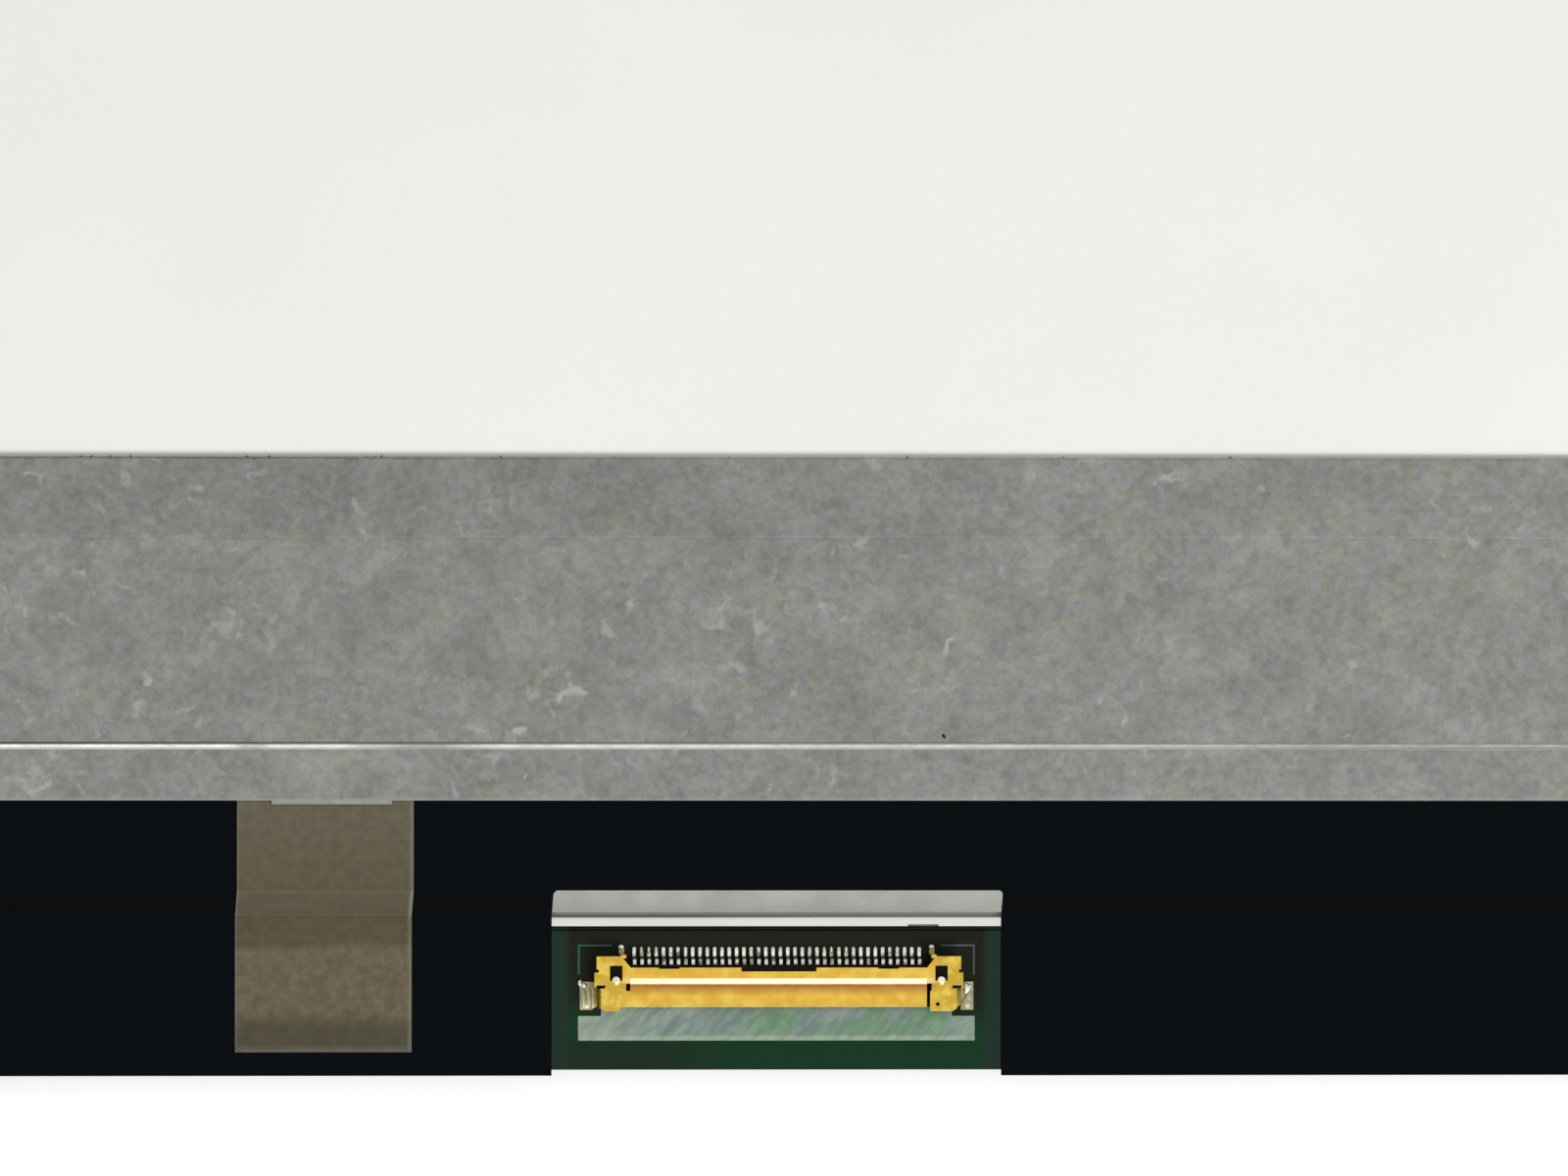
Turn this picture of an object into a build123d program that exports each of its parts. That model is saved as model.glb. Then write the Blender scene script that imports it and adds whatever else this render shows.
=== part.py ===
from build123d import *
import math
import os

# A flat display module for a laptop lid, lying face down: the glass looks down at Z = 0 and the
# rear looks up. X runs along the long side and Y up the short side, away from the driver board.
# Everything is drawn from the lower edge of the board's tape (Y = 0) and moved once, at the end,
# so that the origin is the middle of the underside. All lengths are in millimetres.

# Display area, and the borders from it to the outside of the moulded frame
active_width = 344.2
active_height = 193.5
side_border = 7.3
top_border = 4.9
bottom_border = 10.3

# Layers, in order from the front face to the rear
front_tape_t = 0.1
polariser_t = 0.2
glass_t = 0.4
cell_tape_t = 0.1
ledge_t = 0.4
film_t = 0.15
guide_t = 0.7
reflector_t = 0.2
rail_t = 0.25
adhesive_t = 0.3
steel_t = 0.3
film_count = 3

z_front_polariser = front_tape_t
z_filter_glass = z_front_polariser + polariser_t
z_array_glass = z_filter_glass + glass_t
z_cell_rear = z_array_glass + glass_t
z_ledge = z_cell_rear + cell_tape_t
z_film = z_ledge + ledge_t
z_guide = z_film + film_count * film_t
z_reflector = z_guide + guide_t
z_rail = z_reflector + reflector_t
z_rail_rear = z_rail + rail_t
z_cover = z_rail_rear + adhesive_t

# Driver board, on a shelf that lies below the rail's rear face
board_height = 9.6
board_t = 0.5
board_end_inset = 27.4          # from the frame's side face to the end of the board
board_corner_r = 0.8
board_gap = 0.1                 # board to frame
tape_overhang = 0.4             # the rear tape reaches this far below the board
shelf_drop = 0.9                # rail's rear face down to the board's rear face

z_shelf = z_rail_rear - shelf_drop
z_board = z_shelf - board_t

board_bottom = tape_overhang
board_top = board_bottom + board_height
frame_bottom = board_top + board_gap
active_bottom = frame_bottom + bottom_border
active_top = active_bottom + active_height
frame_top = active_top + top_border
frame_half = active_width / 2 + side_border
board_half = frame_half - board_end_inset

# Mounting ears
ear_reach = 5.0                 # above the frame's top face
ear_width = 11.0
ear_corner_r = 1.0
ear_hole_r = 1.1
ear_hole_inset = 6.7            # from the outer side face to the hole's axis
ear_hole_from_end = 2.5
ear_front = 1.5                 # height of the ear's front face
ear_relief = 0.2                # between the frame's end and the ear
lower_ear_inset = 0.4           # from the module's lower edge to the lower ear's end
overall_height = frame_top + ear_reach

# Cell
glass_margin = 3.2              # glass beyond the display area, at the sides
glass_end_margin = 2.6
bond_ledge = 2.6                # the array glass goes this much further down
front_polariser_margin = 1.6
rear_polariser_margin = 0.5
cell_clearance = 0.3
cell_tape_inner = 1.1
cell_tape_outer = 2.9

# Backlight
opening_margin = 0.8            # the ledge's opening beyond the display area
guide_margin = 2.2
guide_top_margin = 1.6
guide_clearance = 0.2
mixing_length = 3.0             # light entry edge to the display area
film_setback = 1.2              # film's lower edge above the light entry edge
film_tab_width = 8.0
film_tab_reach = 1.0
film_tab_offset = 100.0
lug_width = 6.0
lug_reach = 1.2
lug_heights = (60.0, 160.0)     # above the display area's lower edge
lug_clearance = 0.3
led_length = 3.6
led_depth = 1.0
led_height = 0.65
led_pitch = 7.1
led_gap = 0.1
led_lens_length = 2.8
led_lens_height = 0.38
led_lens_depth = 0.12
strip_overlap = 2.0             # LED strip over the guide
strip_below = 0.5               # LED strip below the LED bodies
flex_t = 0.08
tail_width = 8.0
tail_clearance = 0.5
tail_wall_gap = 0.2
reflector_rim = 2.0             # frame's side face to the reflector's edge
reflector_gap = 0.2
reflector_clearance = 0.3

guide_half = active_width / 2 + guide_margin
guide_bottom = active_bottom - mixing_length
guide_top = active_top + guide_top_margin
led_top = guide_bottom - led_gap
led_bottom = led_top - led_depth
strip_bottom = led_bottom - strip_below
strip_top = guide_bottom + strip_overlap
reflector_bottom = strip_top + reflector_gap

# Moulded frame
frame_corner_r = 1.2
shelf_lip = 0.6                 # wall that stands beside the board
shelf_floor = 0.7               # from the ledge's front plane up to the shelf's floor
inner_wall = 2.2                # wall below the LEDs, which carries the rail
inner_wall_gap = 0.4            # to the LED strip
beam_bevel = 2.1                # bevel on the front of the lower beam, along Y
beam_bevel_depth = 0.35
gate_notch = (9.0, 2.1, 0.12)   # from the plug's axis, width and depth, in the shelf's lip
snap_length = 6.0
snap_reach = 0.22
snap_height = 0.9
snap_front = 1.2
snap_clearance = 0.25
side_snaps = 4
top_snaps = 5

# Side and top brackets
bracket_flange = 4.8
bracket_front = 0.6             # height of the wall's front edge
bracket_bend_r = 0.25
bracket_gap = 0.4
ear_wall_bevel = 1.2

z_bracket_rear = z_rail + steel_t
bracket_outer = frame_half + steel_t
flange_inner = frame_half - bracket_flange

# LED rail, whose lower flange slopes down to the shelf
slope_run = 1.7
rail_edge_gap = 0.3             # shelf lip to the rail's free edge
slope_gap = 0.1                 # shelf lip to the foot of the slope
rail_height = 23.1              # flat part, from the slope up

slope_foot = frame_bottom + shelf_lip + slope_gap
slope_head = slope_foot + slope_run
rail_edge = frame_bottom + shelf_lip + rail_edge_gap
rail_top = slope_head + rail_height

# Rear tapes
rear_tape_t = 0.08
tape_side = 0.8                 # tape beyond the board's ends
tape_top = slope_head + 7.7
ground_tape_t = 0.07
ground_tape_width = 12.05
ground_tape_offset = -30.98     # from the plug's axis to the tape's middle
ground_tape_bottom = 1.6

# Lower steel cover
cover_setback = 8.5             # frame's lower face to the cover's lip
lip_height = 3.65
ridge_run = 0.3
face_height = 13.9
lead_in_height = 5.3
cover_bend_r = 0.35
cover_corner_r = 1.5
ground_tab_width = 8.2
ground_tab_reach = 0.25
ground_tab_offset = -30.6       # from the plug's axis
adhesive_inset = 0.8

z_lip = z_rail_rear + rear_tape_t + ground_tape_t
cover_bottom = frame_bottom + cover_setback
cover_half = flange_inner - bracket_gap
ridge_foot = cover_bottom + lip_height
ridge_head = ridge_foot + ridge_run
face_top = ridge_head + face_height
cover_top = face_top + lead_in_height

# Board connector. Its own axes are along X from its middle, along Y from its mating face and
# up from the board.
connector_x = 84.0
connector_setback = 3.97        # board's lower edge to the mating face
contact_count = 40
contact_pitch = 0.5
contact_width = 0.22
contact_t = 0.12
contact_height = 0.25           # board to the underside of the contact's beam
contact_tip = 0.55
contact_shoulder = 3.5
contact_foot = 3.66
contact_end = 4.28
shell_t = 0.12
shell_height = 1.1
shell_step = 0.12
shell_step_start = 1.82
shell_step_end = 2.2
shell_rear = 2.94
band_half = 10.15
band_front = 0.28
band_fold = 10.87               # where the band steps up into the left block
recess_half = 2.56
recess_depth = 0.26
relief_offset = 7.5
relief_width = 1.4
relief_depth = 0.08
slit_width = 0.2                # between the band and the right block
slit_top = 1.87
keyhole = (0.3, 0.5)            # width and height of the hole at the root of each block
fold_end = slit_top - keyhole[1]
block_outer = 12.62             # end block's outer side, at its rear half
block_shoulder = 0.15           # the rear corner is set in by this much
block_notch = (0.3, 0.22)       # depth and width of the notches in the outer side
rear_notch = 2.6
block_front = 0.0
block_rear = 3.7
block_corner_r = 0.4
latch_window = (0.85, 1.02)
latch_offset = 11.13
latch_bottom = 2.05
latch_dome = (0.3, 0.1)         # radius and rise of the bump at the latch window's lower edge
pilot_hole_r = 0.13
side_wall_at = 12.06            # inner face of the wall beside the block's front half
side_wall_front = 0.15
side_wall_rear = 1.52
hold_down_outer = 13.46
hold_down_root = 0.4            # length of the leg that carries the hold-down
hold_down_rear = 1.98
hold_down_front = 0.08
hold_down_inner = 12.6          # a slot is left from here to the side wall
rear_leg_offset = 10.62
rear_leg_width = 0.36
housing_clearance = 0.02
housing_front = 0.3
housing_rear = 3.14
housing_slot_half = 10.6
housing_slot_depth = 2.4
housing_floor = 0.37
housing_groove = 0.26
pad_t = 0.04
pad_half = 13.57
pad_bottom = -2.0
pad_top = -0.34
pad_tongue_half = 12.0
pad_tongue_top = 0.28

# Window in the rear tape that shows the connector
window_width = 30.77
window_top = 12.53
window_corner_r = 0.35

# Driver films between the array glass and the board
driver_count = 4
driver_width = 40.0
driver_bond = 1.6
driver_on_board = 1.8
driver_clearance = 0.14
driver_chip = (17.0, 1.4, 0.3)  # length, width and thickness

# Parts on the board's front face
timing_chip = (6.0, 6.0, 0.85)
power_coil = (4.0, 4.0, 1.0)
power_chip = (4.0, 4.0, 0.75)
terminal = (0.25, 0.4, 0.05)    # width, length and thickness of a chip's terminal
terminal_pitch = 0.5
terminal_corner = 0.6           # chip's corner to its first terminal
terminal_show = 0.03            # terminal beyond the chip's side
coil_corner_r = 0.9
coil_core_r = 1.3
coil_groove = (0.25, 0.3)       # width and depth of the ring round the core
coil_foot = (1.4, 0.12)         # width of a foot, and its reach beyond the coil's side
capacitor = (1.6, 0.8, 0.7)
capacitor_cap = (0.35, 0.03)    # length of an end cap, and how far it stands proud
capacitor_count = 8
capacitor_pitch = 3.0
front_part_y = 4.0              # middle of the parts above the board's lower edge
front_window_margin = 0.8

# Front tape
front_tape_inner = 1.0          # from the display area to the tape's inner edge
front_tape_edge = 0.2           # from the frame's edge
flap_fold = 1.5                 # fold above the frame's lower face
flap_run = 2.6
flap_bottom = 0.2               # flap's end above the board's lower edge


def slab(x0, x1, y0, y1, z0, z1):
    """Block between three pairs of planes."""
    middle = Pos((x0 + x1) / 2, (y0 + y1) / 2, (z0 + z1) / 2)
    return middle * Box(x1 - x0, y1 - y0, z1 - z0)


def rounded_slab(x0, x1, y0, y1, z0, z1, radius):
    """Block whose four upright edges are rounded."""
    outline = Pos((x0 + x1) / 2, (y0 + y1) / 2, z0) * RectangleRounded(x1 - x0, y1 - y0, radius)
    return extrude(outline, amount=z1 - z0, dir=(0, 0, 1))


def upright(points, z0, z1):
    """Block with an outline of (x, y) points."""
    outline = make_face(Polyline(*[(x, y, z0) for x, y in points], close=True))
    return extrude(outline, amount=z1 - z0, dir=(0, 0, 1))


def along_x(points, x0, x1):
    """Bar along X with a section of (y, z) points."""
    section = make_face(Polyline(*[(x0, y, z) for y, z in points], close=True))
    return extrude(section, amount=x1 - x0, dir=(1, 0, 0))


def along_y(points, y0, y1):
    """Bar along Y with a section of (x, z) points."""
    section = make_face(Polyline(*[(x, y0, z) for x, z in points], close=True))
    return extrude(section, amount=y1 - y0, dir=(0, 1, 0))


def offset_path(path, distance):
    """Points beside a path, at an even distance, mitred at its corners."""
    normals = []
    for (a0, b0), (a1, b1) in zip(path, path[1:]):
        length = math.hypot(a1 - a0, b1 - b0)
        normals.append(((b0 - b1) / length, (a1 - a0) / length))
    corners = [normals[0]]
    for (p, q), (r, s) in zip(normals, normals[1:]):
        share = 1 + p * r + q * s
        corners.append(((p + r) / share, (q + s) / share))
    corners.append(normals[-1])
    return [(a + distance * n, b + distance * m) for (a, b), (n, m) in zip(path, corners)]


def folded_sheet(path, thickness, x0, x1):
    """Sheet along X that follows a path of (y, z) points and lies on one side of it."""
    return along_x(path + offset_path(path, thickness)[::-1], x0, x1)


def ring(half, y0, y1, inner_half, inner_y0, inner_y1, z0, z1):
    """Flat rectangular ring."""
    inside = slab(-inner_half, inner_half, inner_y0, inner_y1, z0, z1)
    return slab(-half, half, y0, y1, z0, z1) - inside


def evenly(count, low, high):
    """Middles of equal shares of a length."""
    step = (high - low) / count
    return [low + (n + 0.5) * step for n in range(count)]


def margin_slab(side, below, above, z, thickness):
    """Plate that reaches past the display area by the given margins."""
    half = active_width / 2 + side
    return slab(-half, half, active_bottom - below, active_top + above, z, z + thickness)


side_snap_places = evenly(side_snaps, frame_bottom, frame_top)
top_bracket_half = bracket_outer - ear_width - bracket_gap
top_snap_places = evenly(top_snaps, -top_bracket_half, top_bracket_half)
driver_places = evenly(driver_count, -board_half, board_half)
tail_x = (driver_places[0] + driver_places[1]) / 2


# Cell: two polarisers and two sheets of glass, held to the frame's ledge by a ring of tape

def front_polariser():
    margin = front_polariser_margin
    return margin_slab(margin, margin, margin, z_front_polariser, polariser_t)


def colour_filter_glass():
    return margin_slab(glass_margin, glass_end_margin, glass_end_margin, z_filter_glass, glass_t)


def array_glass():
    below = glass_end_margin + bond_ledge
    return margin_slab(glass_margin, below, glass_end_margin, z_array_glass, glass_t)


def rear_polariser():
    margin = rear_polariser_margin
    return margin_slab(margin, margin, margin, z_cell_rear, polariser_t)


def cell_tape():
    outer = active_width / 2 + cell_tape_outer
    inner = active_width / 2 + cell_tape_inner
    top = active_top + min(cell_tape_outer, glass_end_margin)
    return ring(outer, active_bottom - cell_tape_outer, top,
                inner, active_bottom - cell_tape_inner, active_top + cell_tape_inner,
                z_cell_rear, z_ledge)


# Backlight: three films, the light guide, the reflector and the LED strip

def optical_film(place):
    z0 = z_film + place * film_t
    sheet = slab(-guide_half, guide_half, guide_bottom + film_setback, guide_top, z0, z0 + film_t)
    for x in (-film_tab_offset, film_tab_offset):
        half = film_tab_width / 2
        sheet += slab(x - half, x + half, guide_top, guide_top + film_tab_reach, z0, z0 + film_t)
    return sheet


def light_guide():
    plate = slab(-guide_half, guide_half, guide_bottom, guide_top, z_guide, z_reflector)
    for height in lug_heights:
        y0 = active_bottom + height - lug_width / 2
        plate += slab(-guide_half - lug_reach, guide_half + lug_reach, y0, y0 + lug_width,
                      z_guide, z_reflector)
    return plate


def reflector_sheet():
    half = frame_half - reflector_rim
    return slab(-half, half, reflector_bottom, frame_top - reflector_rim, z_reflector, z_rail)


def led_places():
    count = int(2 * (guide_half - led_length) // led_pitch) + 1
    first = -(count - 1) * led_pitch / 2
    return [first + n * led_pitch for n in range(count)]


def leds():
    """Side-firing LEDs, each with a shallow lens window towards the light guide."""
    z_middle = z_reflector - led_height / 2
    bodies = []
    for x in led_places():
        body = slab(x - led_length / 2, x + led_length / 2, led_bottom, led_top,
                    z_reflector - led_height, z_reflector)
        body -= slab(x - led_lens_length / 2, x + led_lens_length / 2,
                     led_top - led_lens_depth, led_top,
                     z_middle - led_lens_height / 2, z_middle + led_lens_height / 2)
        bodies.append(body)
    return Compound(bodies)


def led_strip():
    """Flexible strip behind the LEDs, with a tail that goes down to the board's front face."""
    strip = slab(-guide_half, guide_half, strip_bottom, strip_top, z_reflector, z_rail)
    tail_rear = z_rail - flex_t
    wall_top = strip_bottom - inner_wall_gap
    path = [
        (strip_bottom + strip_below, tail_rear),
        (wall_top + tail_wall_gap, tail_rear),
        (wall_top - inner_wall, z_board),
        (board_top - driver_on_board, z_board),
    ]
    tail = folded_sheet(path, flex_t, tail_x - tail_width / 2, tail_x + tail_width / 2)
    return strip + tail


# Moulded frame: side and top walls, the ledge for the cell and the shelf beside the board

def moulded_frame():
    bottom_edge = frame_bottom - 1
    cell_half = active_width / 2 + glass_margin + cell_clearance
    cell_top = active_top + glass_end_margin + cell_clearance
    pocket_half = guide_half + guide_clearance
    pocket_top = guide_top + guide_clearance
    wall_top = strip_bottom - inner_wall_gap
    wall_bottom = wall_top - inner_wall
    floor = z_ledge + shelf_floor
    lip_top = frame_bottom + shelf_lip

    body = rounded_slab(-frame_half, frame_half, frame_bottom, frame_top,
                        front_tape_t, z_rail, frame_corner_r)
    body -= slab(-cell_half, cell_half, bottom_edge, cell_top, front_tape_t, z_ledge)
    body -= margin_slab(opening_margin, opening_margin, opening_margin, z_ledge, ledge_t)
    body -= slab(-pocket_half, pocket_half, wall_top, pocket_top, z_film, z_rail)
    recess_half_width = frame_half - reflector_rim + reflector_clearance
    body -= slab(-recess_half_width, recess_half_width, reflector_bottom - reflector_clearance,
                 frame_top - reflector_rim + reflector_clearance, z_reflector, z_rail)
    body -= slab(-pocket_half, pocket_half, lip_top, wall_bottom, floor, z_rail)
    body -= slab(-pocket_half, pocket_half, bottom_edge, lip_top, z_shelf, z_rail)
    bevel = [(bottom_edge, z_ledge), (frame_bottom + beam_bevel, z_ledge),
             (frame_bottom, z_ledge + beam_bevel_depth), (bottom_edge, z_ledge + beam_bevel_depth)]
    body -= along_x(bevel, -cell_half, cell_half)

    # Seats for the films' tabs and the guide's lugs
    for x in (-film_tab_offset, film_tab_offset):
        half = film_tab_width / 2 + lug_clearance
        body -= slab(x - half, x + half, pocket_top, pocket_top + film_tab_reach, z_film, z_reflector)
    for height in lug_heights:
        half = lug_width / 2 + lug_clearance
        y = active_bottom + height
        reach = pocket_half + lug_reach
        body -= slab(-reach, reach, y - half, y + half, z_film, z_reflector)

    # Passage for the LED strip's tail
    tail_half = tail_width / 2 + tail_clearance
    body -= slab(tail_x - tail_half, tail_x + tail_half, bottom_edge, wall_top,
                 z_board - flex_t - housing_clearance, z_rail)

    # Gate notch in the lip beside the board
    offset, width, depth = gate_notch
    notch_x = connector_x + offset
    body -= slab(notch_x, notch_x + width, frame_bottom, frame_bottom + depth, z_board, z_shelf)

    # Snaps that hold the brackets
    snap = [(0, snap_front), (snap_reach, snap_front + snap_reach),
            (snap_reach, snap_front + snap_height), (0, snap_front + snap_height)]
    for y in side_snap_places:
        for side in (-1, 1):
            section = [(side * (frame_half + reach), z) for reach, z in snap]
            body += along_y(section, y - snap_length / 2, y + snap_length / 2)
    for x in top_snap_places:
        section = [(frame_top + reach, z) for reach, z in snap]
        body += along_x(section, x - snap_length / 2, x + snap_length / 2)
    return body


# Folded steel brackets

def snap_window(low, high):
    """Limits of the window that a snap sits in, along the wall."""
    middle = (low + high) / 2
    half = snap_length / 2 + snap_clearance
    return middle - half, middle + half


def right_bracket():
    """Wall and flange along the right side, with an ear bent inwards beyond each end."""
    low = lower_ear_inset
    high = overall_height
    ear_rear = ear_front + steel_t
    wall_end_low = frame_bottom
    wall_end_high = frame_top
    bend = along_y([(flange_inner, z_rail), (frame_half, z_rail), (frame_half, bracket_front),
                    (bracket_outer, bracket_front), (bracket_outer, z_bracket_rear),
                    (flange_inner, z_bracket_rear)], wall_end_low, wall_end_high)
    outer_edge = bend.edges().filter_by(Axis.Y).sort_by(lambda e: e.center().X + e.center().Z)[-1]
    bracket = fillet(outer_edge, bracket_bend_r)

    def ear(edge, end, hole_y):
        """Ear between the frame's end and the module's end, with the wall that carries it."""
        towards = 1 if end > edge else -1
        root = edge + towards * ear_relief
        wall = slab(frame_half, bracket_outer, min(edge, end), max(edge, end), ear_front, z_bracket_rear)
        corner = wall.edges().filter_by(Axis.X).sort_by(
            lambda e: towards * e.center().Y + e.center().Z)[-1]
        wall = chamfer(corner, ear_wall_bevel)
        plate = slab(bracket_outer - ear_width, bracket_outer, min(root, end), max(root, end),
                     ear_front, ear_rear)
        corner = plate.edges().filter_by(Axis.Z).sort_by(
            lambda e: towards * e.center().Y - e.center().X)[-1]
        plate = fillet(corner, ear_corner_r)
        hole = Pos(bracket_outer - ear_hole_inset, hole_y, ear_front + steel_t / 2)
        return wall + plate - hole * Cylinder(ear_hole_r, 2 * steel_t)

    bracket += ear(wall_end_high, high, high - ear_hole_from_end)
    bracket += ear(wall_end_low, low, low + ear_hole_from_end)
    for y in side_snap_places:
        y0, y1 = snap_window(y, y)
        bracket -= slab(frame_half, bracket_outer, y0, y1, snap_front - snap_clearance,
                        snap_front + snap_height + snap_clearance)
    return bracket


def left_bracket():
    return mirror(right_bracket(), Plane.YZ)


def top_bracket():
    outer = frame_top + steel_t
    inner = frame_top - bracket_flange
    bend = along_x([(inner, z_rail), (frame_top, z_rail), (frame_top, bracket_front),
                    (outer, bracket_front), (outer, z_bracket_rear), (inner, z_bracket_rear)],
                   -top_bracket_half, top_bracket_half)
    outer_edge = bend.edges().filter_by(Axis.X).sort_by(lambda e: e.center().Y + e.center().Z)[-1]
    bracket = fillet(outer_edge, bracket_bend_r)
    for x in top_snap_places:
        x0, x1 = snap_window(x, x)
        bracket -= slab(x0, x1, frame_top, outer, snap_front - snap_clearance,
                        snap_front + snap_height + snap_clearance)
    return bracket


# Rail, adhesive and lower steel cover

def led_rail():
    slope = shelf_drop / slope_run
    path = [(rail_edge, z_shelf + (rail_edge - slope_foot) * slope),
            (slope_head, z_rail_rear), (rail_top, z_rail_rear)]
    return folded_sheet(path, -rail_t, -cover_half, cover_half)


def cover_adhesive():
    return slab(-cover_half + adhesive_inset, cover_half - adhesive_inset,
                ridge_head + adhesive_inset, rail_top - adhesive_inset, z_rail_rear, z_cover)


def edges_at(part, points):
    """Edges along X whose section lies at one of the (y, z) points."""
    def near(edge):
        place = edge.center()
        return any(math.hypot(place.Y - y, place.Z - z) < 0.01 for y, z in points)
    return [edge for edge in part.edges().filter_by(Axis.X) if near(edge)]


def lower_cover():
    """One sheet: a lip over the tapes, a ridge, the flat face and a lead-in down to the reflector."""
    path = [(cover_bottom, z_lip), (ridge_foot, z_lip), (ridge_head, z_cover),
            (face_top, z_cover), (cover_top, z_rail)]
    rear = offset_path(path, steel_t)
    sheet = along_x(path + rear[::-1], -cover_half, cover_half)
    sheet = fillet(edges_at(sheet, [rear[1], rear[2], rear[3]]), cover_bend_r)
    tab_x = connector_x + ground_tab_offset
    sheet += slab(tab_x - ground_tab_width / 2, tab_x + ground_tab_width / 2,
                  cover_bottom - ground_tab_reach, cover_bottom, z_lip, z_lip + steel_t)
    low = cover_bottom - ground_tab_reach - 2 * cover_corner_r
    return sheet & rounded_slab(-cover_half, cover_half, low, rear[-1][0], 0, 2 * z_cover,
                                cover_corner_r)


# Tapes

def rear_tape():
    """Black tape over the board, the shelf and the rail's slope, with a window for the plug."""
    path = [(0, z_shelf), (slope_foot, z_shelf), (slope_head, z_rail_rear), (tape_top, z_rail_rear)]
    half = board_half + tape_side
    sheet = folded_sheet(path, rear_tape_t, -half, half)
    below = -2 * window_corner_r
    window = rounded_slab(connector_x - window_width / 2, connector_x + window_width / 2,
                          below, window_top, z_shelf - 1, z_cover, window_corner_r)
    return sheet - window


def ground_tape():
    """Conductive cloth that joins the board's tape to the steel, under the cover's lip."""
    face = offset_path([(0, z_shelf), (slope_foot, z_shelf), (slope_head, z_rail_rear),
                        (tape_top, z_rail_rear)], rear_tape_t)
    path = [(ground_tape_bottom, face[0][1]), face[1], face[2], (tape_top, face[3][1])]
    middle = connector_x + ground_tape_offset
    return folded_sheet(path, ground_tape_t,
                        middle - ground_tape_width / 2, middle + ground_tape_width / 2)


def front_parts():
    """Place and size of each part on the board's front face: (x, size) pairs."""
    coil_x = driver_places[-1] - driver_width / 4
    return {
        "timing_chip": (0.0, timing_chip),
        "power_coil": (coil_x, power_coil),
        "power_chip": (coil_x + 3 * power_coil[0] / 2, power_chip),
    }


def front_tape():
    """Black tape round the display area; its lower flap goes over the driver films to the board."""
    outer = frame_half - front_tape_edge
    fold = frame_bottom + flap_fold
    tape = ring(outer, fold, frame_top - front_tape_edge,
                active_width / 2 + front_tape_inner,
                active_bottom - front_tape_inner, active_top + front_tape_inner, 0, front_tape_t)
    end = board_bottom + flap_bottom
    rear = z_board - flex_t
    path = [(end, rear), (fold - flap_run, rear), (fold, front_tape_t), (fold + 1, front_tape_t)]
    flap = folded_sheet(path, -front_tape_t, -board_half, board_half)
    tape += flap
    y = board_bottom + front_part_y
    for x, (length, width, _) in front_parts().values():
        half = length / 2 + front_window_margin
        tape -= slab(x - half, x + half, end - 1, y + width / 2 + front_window_margin,
                     rear - 2 * front_tape_t, rear)
    first, last = capacitor_places()[0], capacitor_places()[-1]
    tape -= slab(first - capacitor[0], last + capacitor[0], end - 1, y + capacitor[1],
                 rear - 2 * front_tape_t, rear)
    return tape


# Driver board and what is on it

def driver_board():
    return rounded_slab(-board_half, board_half, board_bottom, board_top, z_board, z_shelf,
                        board_corner_r)


def on_front(x, size):
    """Part that stands on the board's front face, and so points down."""
    length, width, height = size
    y = board_bottom + front_part_y
    return slab(x - length / 2, x + length / 2, y - width / 2, y + width / 2, z_board - height, z_board)


def leadless_chip(x, size):
    """Chip on a row of flat terminals along each of its four sides."""
    length, _, height = size
    width, reach, thickness = terminal
    chip = on_front(x, size) - on_front(x, (length, length, thickness))
    outer = length / 2 + terminal_show
    run = length / 2 - terminal_corner
    count = int(2 * run // terminal_pitch) + 1
    first = -(count - 1) * terminal_pitch / 2
    centre = Pos(x, board_bottom + front_part_y, 0)
    for turn in range(4):
        for n in range(count):
            place = first + n * terminal_pitch
            foot = slab(place - width / 2, place + width / 2, outer - reach, outer,
                        z_board - thickness, z_board)
            chip += centre * Rot(0, 0, 90 * turn) * foot
    return chip


def shielded_coil(x, size):
    """Coil in a square shield, with a ring of glue round its core and a foot at each end."""
    length, width, height = size
    foot_width, foot_reach = coil_foot
    ring_width, ring_depth = coil_groove
    y = board_bottom + front_part_y
    front = z_board - height
    body = rounded_slab(x - length / 2, x + length / 2, y - width / 2, y + width / 2,
                        front, z_board, coil_corner_r)
    groove = Cylinder(coil_core_r + ring_width, 2 * ring_depth) - Cylinder(coil_core_r, height)
    body -= Pos(x, y, front) * groove
    for side in (-1, 1):
        inner = x + side * (length / 2 - foot_reach)
        outer = x + side * (length / 2 + foot_reach)
        body += slab(min(inner, outer), max(inner, outer), y - foot_width / 2, y + foot_width / 2,
                     z_board - foot_reach, z_board)
    return body


def capacitor_places():
    first = -driver_width - capacitor_count * capacitor_pitch / 2
    return [first + n * capacitor_pitch for n in range(capacitor_count)]


def chip_capacitor(x):
    length, width, height = capacitor
    cap, proud = capacitor_cap
    body = on_front(x, (length, width - 2 * proud, height - proud))
    for side in (-1, 1):
        body += on_front(x + side * (length - cap) / 2, (cap, width, height))
    return body


def capacitors():
    return Compound([chip_capacitor(x) for x in capacitor_places()])


def driver_path():
    """Rear face of a driver film, from its bond on the glass down to the board."""
    glass_end = active_bottom - glass_end_margin - bond_ledge
    return [
        (glass_end + driver_bond, z_array_glass),
        (glass_end, z_array_glass),
        (frame_bottom + beam_bevel, z_ledge - driver_clearance),
        (frame_bottom, z_ledge + beam_bevel_depth - driver_clearance),
        (board_top - board_t, z_board),
        (board_top - board_t - driver_on_board, z_board),
    ]


def driver_films():
    path = driver_path()
    half = driver_width / 2
    return Compound([folded_sheet(path, flex_t, x - half, x + half) for x in driver_places])


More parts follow.
